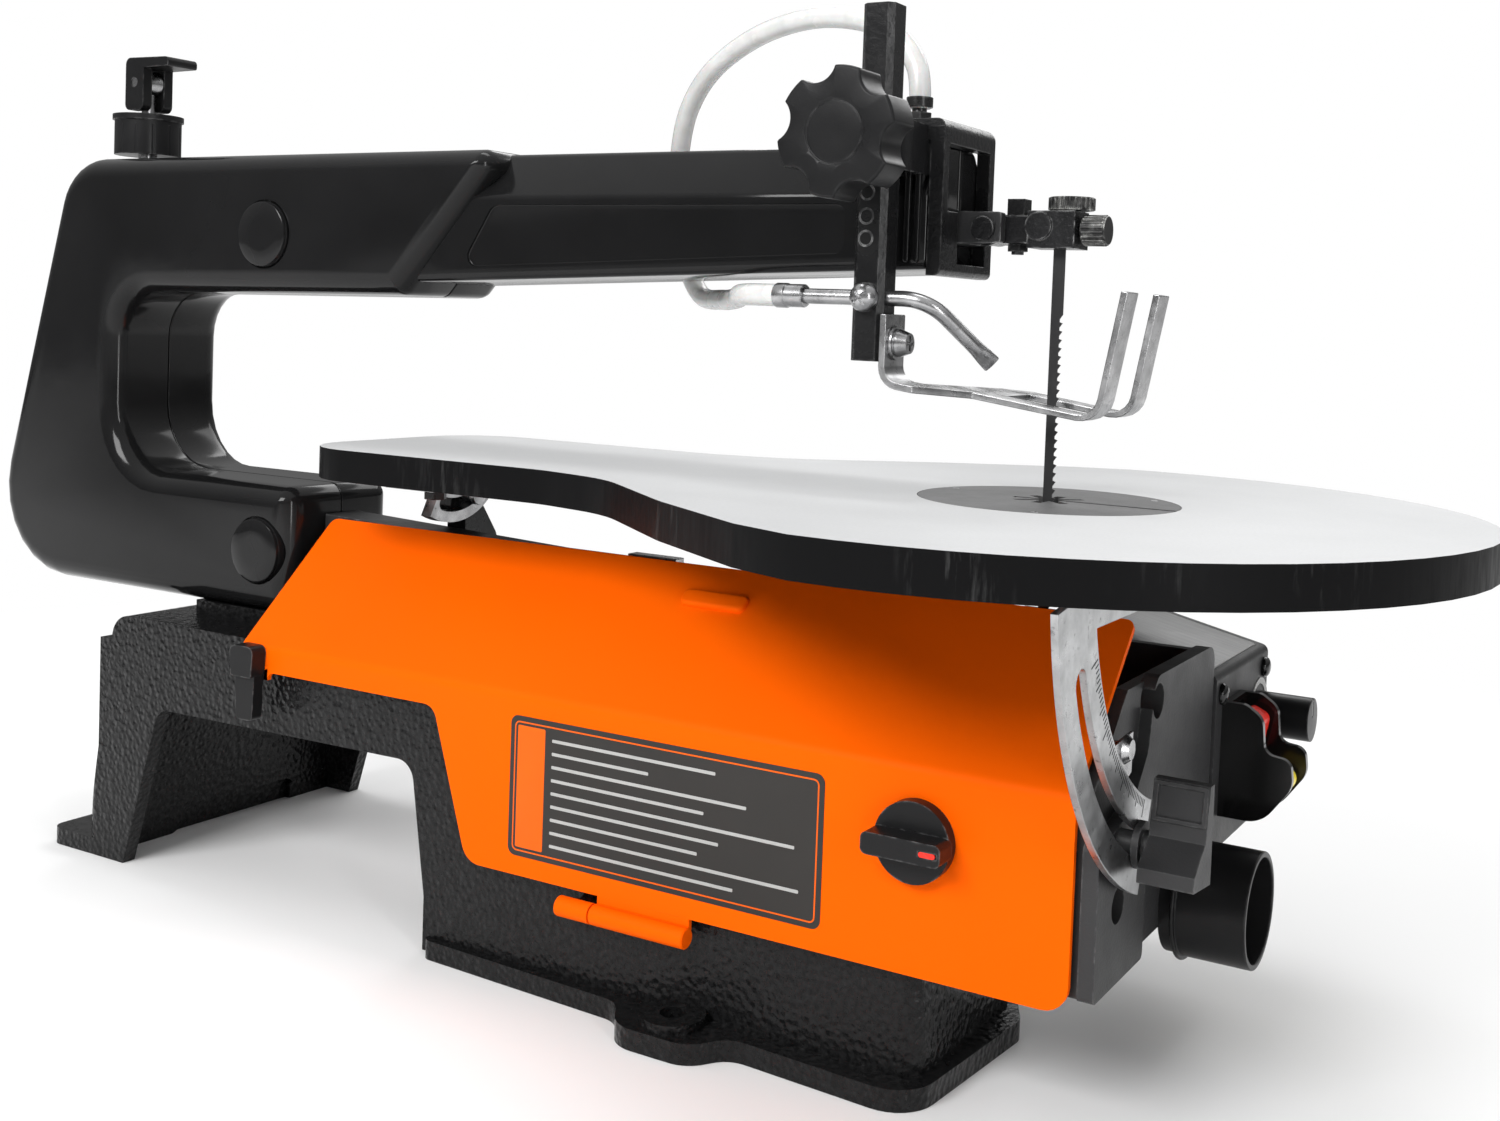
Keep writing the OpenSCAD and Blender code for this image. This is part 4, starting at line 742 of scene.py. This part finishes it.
def lobed_knob():
    """Flat-faced knob with six lobes, hollow scoops between them and a thin ring on its face."""
    full, scoop_r, scoop_out, first_scoop = 20.1, 7.5, 23.6, 49
    round_to, even_to = 12.6, 15  # round inside the first radius, evenly scaled inside the second
    back_y = -50

    def radius(a, r):
        if r < round_to:
            return r
        off = math.radians((math.degrees(a) - first_scoop + 30) % 60 - 30)
        inside = scoop_r ** 2 - (scoop_out * math.sin(off)) ** 2
        edge = full
        if inside > 0:
            edge = min(full, scoop_out * math.cos(off) - math.sqrt(inside))
        return r * edge / full if r < even_to else edge - (full - r)

    stem = [(3, 1), (3, 2), (6, 2.2), (6, 3.9)]
    body = [(12.5, 4.0), (18.6, 4.0), (19.7, 4.3), (full, 5.1), (full, 17.9), (19.8, 18.6), (19.1, 19.0),
            (13, 19.0)]
    ring = [(10.1, 19.0), (9.8, 18.7), (9.5, 18.55), (9.2, 18.7), (8.9, 19.0), (4, 19.0), (0.3, 19.0)]
    bm = lathe(stem + body + ring, along_y(ROD_X, back_y, middle("hold_down_knob").z, -1), 240, radius)
    obj = piece("hold_down_knob_lobed", bm, "black_plastic", "hold_down_knob", ("hold_down_knob",),
                flat_angle=60)
    obj.modifiers.new("normals", "WEIGHTED_NORMAL").weight = 90


rod_marks()
lobed_knob()


# ---------- bellows ----------

def bellows_rings():
    """Soft round folds, in a mesh of their own."""
    low, high = span("bellows")
    x, y, _ = middle("bellows")
    full, depth = (high.x - low.x) / 2, 3.2
    folds, steps = 4, 10
    profile = []
    for k in range(folds * steps + 1):
        t = k / steps
        fold = depth * (1 - abs(math.sin(math.pi * t)) ** 0.7)
        profile.append((full - fold, low.z + (high.z - low.z) * t / folds))
    bm = lathe(profile, lambda a, b, h: (x + a, y + b, h), 40)
    obj = piece("bellows_folds", bm, "guard_plastic", "frame", ("bellows",), flat_angle=60)
    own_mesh(obj)


bellows_rings()


# ---------- side cover ----------

BEND_Z = -78  # where the panel would meet the lip in a sharp bend
BEND_R = 5.0
LIP_Y, LIP_Z = -12.4, -32.3  # the lip's far edge
LIP_SLOPE = math.atan2(LIP_Z - BEND_Z, LIP_Y - SIDE_Y)
LIP_LENGTH = math.hypot(LIP_Y - SIDE_Y, LIP_Z - BEND_Z)


def cover_place(x, s, off):
    """A point of the cover sheet: s runs up the panel from the bend, off is outwards."""
    turn = math.pi / 2 - LIP_SLOPE
    half = BEND_R * math.tan(turn / 2)
    past_panel = s + half
    past_bend = past_panel - BEND_R * turn
    if past_panel <= 0:
        y, z, a = SIDE_Y, BEND_Z + s, 0.0
    else:
        a = min(past_panel / BEND_R, turn)
        straight = max(past_bend, 0)
        y = SIDE_Y + BEND_R - BEND_R * math.cos(a) + straight * math.sin(a)
        z = BEND_Z - half + BEND_R * math.sin(a) + straight * math.cos(a)
    return Vector((x, y - off * math.cos(a), z + off * math.sin(a)))


def split_at(bm, places, axis):
    """Cuts the faces at each place along x (axis 0) or y (axis 1)."""
    across = Vector((1 - axis, axis, 0))
    for place in places:
        geom = list(bm.verts) + list(bm.edges) + list(bm.faces)
        bmesh.ops.bisect_plane(bm, geom=geom, plane_co=across * place, plane_no=across)


def cover():
    """The cover's sheet: a flat outline, cut finely enough to bend, and bent."""
    front, rear, step_x, slope_x = 35, -304, -290, -206
    top, low_edge, rear_edge = LIP_LENGTH - 1.5, -63, -9.5
    outline = [(front, low_edge, 8), (front, top, 3), (rear, top, 3), (rear, -13, 6), (step_x, -13, 4),
               (step_x, rear_edge, 3), (slope_x, rear_edge, 6), (slope_x + 17, low_edge, 8)]
    flat = bmesh.new()
    flat.faces.new([flat.verts.new((p.x, p.y, 0)) for p in rounded(outline)])
    split_at(flat, [-4 + 0.7 * k for k in range(11)] + [15, 30, 45, 60], 1)
    split_at(flat, range(step_x, 30, 20), 0)
    for v in flat.verts:
        v.co = cover_place(v.co.x, v.co.y, 0) * MM
    bmesh.ops.recalc_face_normals(flat, faces=flat.faces)
    if sum(f.normal.y * f.calc_area() for f in flat.faces) > 0:
        bmesh.ops.reverse_faces(flat, faces=flat.faces)
    obj = new_object("side_cover_sheet", flat)
    obj.data.materials.append(LOOKS["cover_paint"])
    smooth(obj)
    sheet = obj.modifiers.new("sheet", "SOLIDIFY")
    sheet.thickness = 2 * MM
    sheet.offset = -1
    bevel_edges(obj, 0.5, 60)
    obj.modifiers.new("normals", "WEIGHTED_NORMAL")
    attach(obj, "side_cover")
    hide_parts("side_cover")


def cover_hinge_leaf():
    """The hinge's barrel and leaf that the cover carries."""
    barrel = [(1.6, 0), (3.1, 0), (3.5, 0.4), (3.5, 37.4), (3.1, 37.8), (1.6, 37.8)]
    bm = lathe(barrel, along_x(-131.8, SIDE_Y - 1.2, -147), 32)
    leaf = rectangle(-131.4, -94.4, -149, -136, 1, 2)
    slab(leaf, SIDE_Y + 0.1, SIDE_Y + 2.1, 0.3, 0.3, xz, bm)
    piece("cover_hinge_leaf", bm, "cover_paint", "side_cover")


def cover_tab():
    """The raised tab pressed in the lip."""
    piece("cover_tab", slab(rectangle(-124, -98, 46, 53, 2.5), -1, 2.2, 0, 1.6, cover_place),
          "cover_paint", "side_cover")


def cover_knob_mark():
    """Short red pointer line near the end of the cover knob's wing."""
    x, _, z = middle("cover_knob")
    y = span("cover_knob")[0].y
    bm = slab(rectangle(x + 6.2, x + 11.4, z - 0.8, z + 0.8, 0.7), y - 0.12, y + 0.6, 0, 0, xz)
    piece("cover_knob_mark", bm, "switch_red", "cover_knob")


cover()
cover_hinge_leaf()
cover_tab()
cover_knob_mark()


# ---------- blank label on the side cover ----------

LABEL_X0, LABEL_X1, LABEL_Z0, LABEL_Z1 = -170, -46, -134, -85
RULE_WIDTHS = (66, 40, 78, 62, 96, 68, 60, 98, 74)


def off_panel(x, z, h):
    """Heights run outwards from the cover's panel."""
    return (x, SIDE_Y - h, z)


def plate(name, look, corners, low, high):
    piece(name, slab(corners, low, high, 0, 0.05, off_panel), look, "side_cover")


def label():
    """A dark panel with a border line, an orange end block and plain ruled bars."""
    plate("label_panel", "label_film", rectangle(LABEL_X0, LABEL_X1, LABEL_Z0, LABEL_Z1, 3), -0.1, 0.22)
    border = rectangle(LABEL_X0 + 1.8, LABEL_X1 - 1.8, LABEL_Z0 + 1.8, LABEL_Z1 - 1.8, 2)
    piece("label_border", band(border, ((0, 0.1), (0, 0.3), (0.5, 0.3), (0.5, 0.1)), off_panel),
          "label_ink", "side_cover")
    block = rectangle(LABEL_X0 + 3.2, LABEL_X0 + 15, LABEL_Z0 + 3.2, LABEL_Z1 - 3.2, 0.6)
    plate("label_block", "label_ink", block, 0.1, 0.3)
    rule_x, first_rule, rule_gap, rule_half = LABEL_X0 + 18, LABEL_Z1 - 6.6, 4.55, 0.55
    for i, width in enumerate(RULE_WIDTHS):
        z = first_rule - i * rule_gap
        rule = rectangle(rule_x, rule_x + width, z - rule_half, z + rule_half, 0.3)
        plate("label_rule_%d" % (i + 1), "label_pale", rule, 0.1, 0.3)


label()


# ---------- control box: plate, dial, screws and knob mark ----------

def box_top(x):
    """Height of the control box's sloping top."""
    rear_x, rear_z, front_z = -20, -47, -61
    return rear_z + (x - rear_x) * (front_z - rear_z) / (BOX_FACE - rear_x)


def rating_plate():
    """A blank metal plate on the box's sloping top."""
    bm = slab(rectangle(-14, 39.5, 60, 119, 1.5), -0.2, 0.35, 0, 0.1, lambda x, y, h: (x, y, box_top(x) + h))
    piece("rating_plate", bm, "plate_film", "frame")


def dial_marks():
    """A pale tapered arc that grows round the speed knob, with no figures."""
    _, y0, z0 = middle("speed_knob")
    inner_r, first_width, growth, steps = 10.6, 0.8, 2.6, 28
    start, turn = math.radians(205), math.radians(230)
    inner, outer = [], []
    for k in range(steps + 1):
        a = start - turn * k / steps
        outward = Vector((math.cos(a), math.sin(a)))
        inner.append(outward * inner_r)
        outer.append(outward * (inner_r + first_width + growth * k / steps))
    loop = outer + inner[::-1]
    loops = [[(BOX_FACE + h, y0 + p.x, z0 + p.y) for p in loop] for h in (0.05, 0.3)]
    piece("dial_arc", rings(bmesh.new(), loops), "label_pale", "frame", flat_angle=30)


def box_screw_heads():
    """Domed black screws on the control box's front."""
    low, high = span("box_screws")
    r = 3.75
    near, far, below, above = low.y + r, high.y - r, low.z + r, high.z - r
    profile = [(3.2, 0), (3.7, 0.2), (r, 0.8), (3.4, 1.6), (2.5, 2.2), (1.2, 2.55), (0.2, 2.6)]
    bm = bmesh.new()
    for y, z in ((near, above), (far, above), (far, below)):
        lathe(profile, along_x(BOX_FACE, y, z), 28, bm=bm)
    piece("box_screw_domes", bm, "guard_plastic", "frame", ("box_screws",))


def knob_mark():
    """The pale pointer line on the speed knob's end face."""
    _, y, z = middle("speed_knob")
    x = span("speed_knob")[1].x
    bm = slab(rectangle(y - 0.45, y + 0.45, z + 1.4, z + 7.4, 0), x - 0.7, x - 0.15, 0, 0, yz)
    piece("speed_knob_mark", bm, "label_pale", "speed_knob")


rating_plate()
dial_marks()
box_screw_heads()
knob_mark()


# ---------- bevel scale and its lock ----------

def scale_ticks():
    """Stamped degree marks along the inner edge of the bevel scale."""
    face_x, sunk = 47.2, 0.05
    inner_r, half_width, first_angle = 89, 0.22, 201.4
    bm = bmesh.new()
    for degree in range(46):
        a = math.radians(first_angle + degree)
        reach = 5.2 if degree % 15 == 0 else 3.8 if degree % 5 == 0 else 2.4
        u, w = Vector((math.cos(a), math.sin(a))), Vector((-math.sin(a), math.cos(a))) * half_width
        near, far = u * inner_r, u * (inner_r + reach)
        corners = [near - w, far - w, far + w, near + w]
        rings(bm, [[(face_x + h, p.x, p.y) for p in corners] for h in (-sunk, sunk)])
    piece("scale_ticks", bm, "rubber", "table", flat_angle=20)


def lock_wing_border():
    """Raised border round the near face of the bevel lock's upright wing."""
    high = span("bevel_lock_knob")[1]
    x0, x1, y1, z1 = high.x - 16.5, high.x, high.y - 7.5, high.z  # the wing's near top edge
    slope = math.atan2(2.1, 12.5)

    def place(x, b, c):
        """b runs down the leaning face and c out of it."""
        return (x, y1 - b * math.sin(slope) - c * math.cos(slope),
                z1 - b * math.cos(slope) + c * math.sin(slope))

    section = ((0, -0.3), (0, 0.5), (0.2, 0.7), (1.3, 0.7), (1.5, 0.5), (1.5, -0.3))
    bm = band(rectangle(x0 + 0.2, x1 - 0.2, 0.3, 12, 0.8), section, place)
    piece("lock_wing_border", bm, "grained_plastic", "bevel_lock_knob")


scale_ticks()
lock_wing_border()


# ---------- looks of the CAD nodes ----------

SLOT_OF = {s["node"]: s["material_slot"] for s in frame["record"]["subparts"]}
OWN_LOOK = {"control_box": "grained_plastic", "front_housing": "grained_plastic",
            "bevel_lock_knob": "grained_plastic", "blade_wheel": "dark_knurl",
            "upper_clamp_screw": "dark_knurl", "lower_clamp_screw": "dark_knurl",
            "bellows_cap": "rough_black"}
USUAL_EDGE = 0.4
EDGES = {1.6: ("base_casting",),
         1.0: ("control_box",),
         0.9: ("bellows_cap",),
         0.8: ("table_top", "front_housing", "rod_clamp", "bevel_lock_knob", "speed_knob", "safety_key",
               "switch_paddle"),
         0.7: ("cover_knob",),
         0.6: ("upper_holder", "lower_holder", "cover_latch", "cam_lever", "pivot_plugs"),
         0.5: ("switch_guard", "dust_port", "tension_knob"),
         0.35: ("work_foot",),
         0.3: ("bevel_scale", "table_insert"),
         0.2: ("foot_screw", "scale_pointer"),
         0.15: ("blade_wheel", "upper_clamp_screw", "lower_clamp_screw"),
         0: ("insert_screws",)}
EDGE_OF = {name: width for width, names in EDGES.items() for name in names}

for name, obj in nodes.items():
    if obj.hide_render:
        continue
    obj.data.materials.clear()
    obj.data.materials.append(LOOKS[OWN_LOOK.get(name, SLOT_OF[name])])
    finish_edges(obj, EDGE_OF.get(name, USUAL_EDGE))


# ---------- floor, light and camera ----------

def floor():
    """A pale floor that takes a soft shadow near the saw and fades to white further off."""
    bm = bmesh.new()
    bmesh.ops.create_grid(bm, x_segments=1, y_segments=1, size=6)
    obj = new_object("floor", bm)
    obj.location = (0, 0, cad_box[0][2] - 0.1 * MM)
    s = Shader("floor_pale")
    pale = s.mix(s.noise(3, 2), (0.9, 0.9, 0.9), (0.93, 0.93, 0.93))
    obj.data.materials.append(s.done(pale, 0.7, Specular_IOR_Level=0.1))
    from_saw = s.add("ShaderNodeVectorMath", operation="DISTANCE")
    s.link(s.place, from_saw.inputs[0])
    from_saw.inputs[1].default_value = (-0.2, 0, 0)
    seen = s.add("ShaderNodeLightPath").outputs["Is Camera Ray"]
    both = s.add("ShaderNodeMixShader")
    s.link(s.math("MULTIPLY", s.spread(from_saw.outputs["Value"], 0.3, 0.75), seen), both.inputs[0])
    s.link(s.bsdf.outputs[0], both.inputs[1])
    s.link(s.add("ShaderNodeEmission").outputs[0], both.inputs[2])
    s.link(both.outputs[0], s.tree.nodes["Material Output"].inputs["Surface"])


def world():
    """White to the camera, and a sky that brightens upwards to everything else."""
    studio = bpy.data.worlds.new("studio")
    bpy.context.scene.world = studio
    studio.use_nodes = True
    tree = studio.node_tree
    back = tree.nodes["Background"]
    back.inputs["Color"].default_value = (1, 1, 1, 1)
    coords = tree.nodes.new("ShaderNodeTexCoord")
    split = tree.nodes.new("ShaderNodeSeparateXYZ")
    ramp = tree.nodes.new("ShaderNodeMapRange")
    for socket, value in (("From Min", 0.0), ("From Max", 0.85), ("To Min", 0.1), ("To Max", 0.85)):
        ramp.inputs[socket].default_value = value
    path = tree.nodes.new("ShaderNodeLightPath")
    pick = tree.nodes.new("ShaderNodeMath")
    pick.operation = "MAXIMUM"
    tree.links.new(coords.outputs["Generated"], split.inputs[0])
    tree.links.new(split.outputs["Z"], ramp.inputs["Value"])
    tree.links.new(ramp.outputs["Result"], pick.inputs[0])
    tree.links.new(path.outputs["Is Camera Ray"], pick.inputs[1])
    tree.links.new(pick.outputs[0], back.inputs["Strength"])


def area(name, place, target, size, power):
    """An area light; its places and sizes are in metres, its power in watts."""
    data = bpy.data.lights.new(name, "AREA")
    data.shape = "RECTANGLE"
    data.size, data.size_y = size
    data.energy = power
    obj = bpy.data.objects.new(name, data)
    obj.location = place
    obj.rotation_euler = (Vector(target) - Vector(place)).to_track_quat("-Z", "Y").to_euler()
    bpy.context.scene.collection.objects.link(obj)


def lights():
    area("key", (-0.35, -1.5, 0.95), (-0.15, 0, -0.05), (1.0, 0.6), 25)
    area("top", (-0.2, 0.2, 1.8), (-0.2, 0, 0), (1.3, 0.4), 8)
    area("rim", (-0.3, 1.3, 0.9), (-0.2, 0, 0), (1.4, 0.5), 8)
    area("strip", (1.25, -0.85, 0.25), (-0.05, 0, 0), (0.16, 1.1), 6)


# the camera's place in millimetres, its turns in degrees, and its lens on a 36 mm wide sensor
VIEW = {"azimuth": 30.312, "elevation": 2.534, "roll": -2.123, "place": (191.6, -506.7, 55.2),
        "lens": 39.68, "shift": (-0.016, -0.1123), "sensor": 36}


def camera():
    az, el, roll = (math.radians(VIEW[k]) for k in ("azimuth", "elevation", "roll"))
    ahead = Vector((-math.sin(az) * math.cos(el), math.cos(az) * math.cos(el), -math.sin(el)))
    right = Vector((math.cos(az), math.sin(az), 0))
    down = ahead.cross(right)
    x = math.cos(roll) * right + math.sin(roll) * down
    y = math.sin(roll) * right - math.cos(roll) * down
    data = bpy.data.cameras.new("camera")
    data.sensor_width = VIEW["sensor"]
    data.lens = VIEW["lens"]
    data.shift_x, data.shift_y = VIEW["shift"]
    data.clip_start = 0.01
    obj = bpy.data.objects.new("camera", data)
    turn = Matrix((x, y, -ahead)).transposed().to_4x4()
    obj.matrix_world = Matrix.Translation(Vector(VIEW["place"]) * MM) @ turn
    bpy.context.scene.collection.objects.link(obj)
    bpy.context.scene.camera = obj


floor()
world()
lights()
camera()
bpy.context.scene.view_settings.view_transform = "Standard"
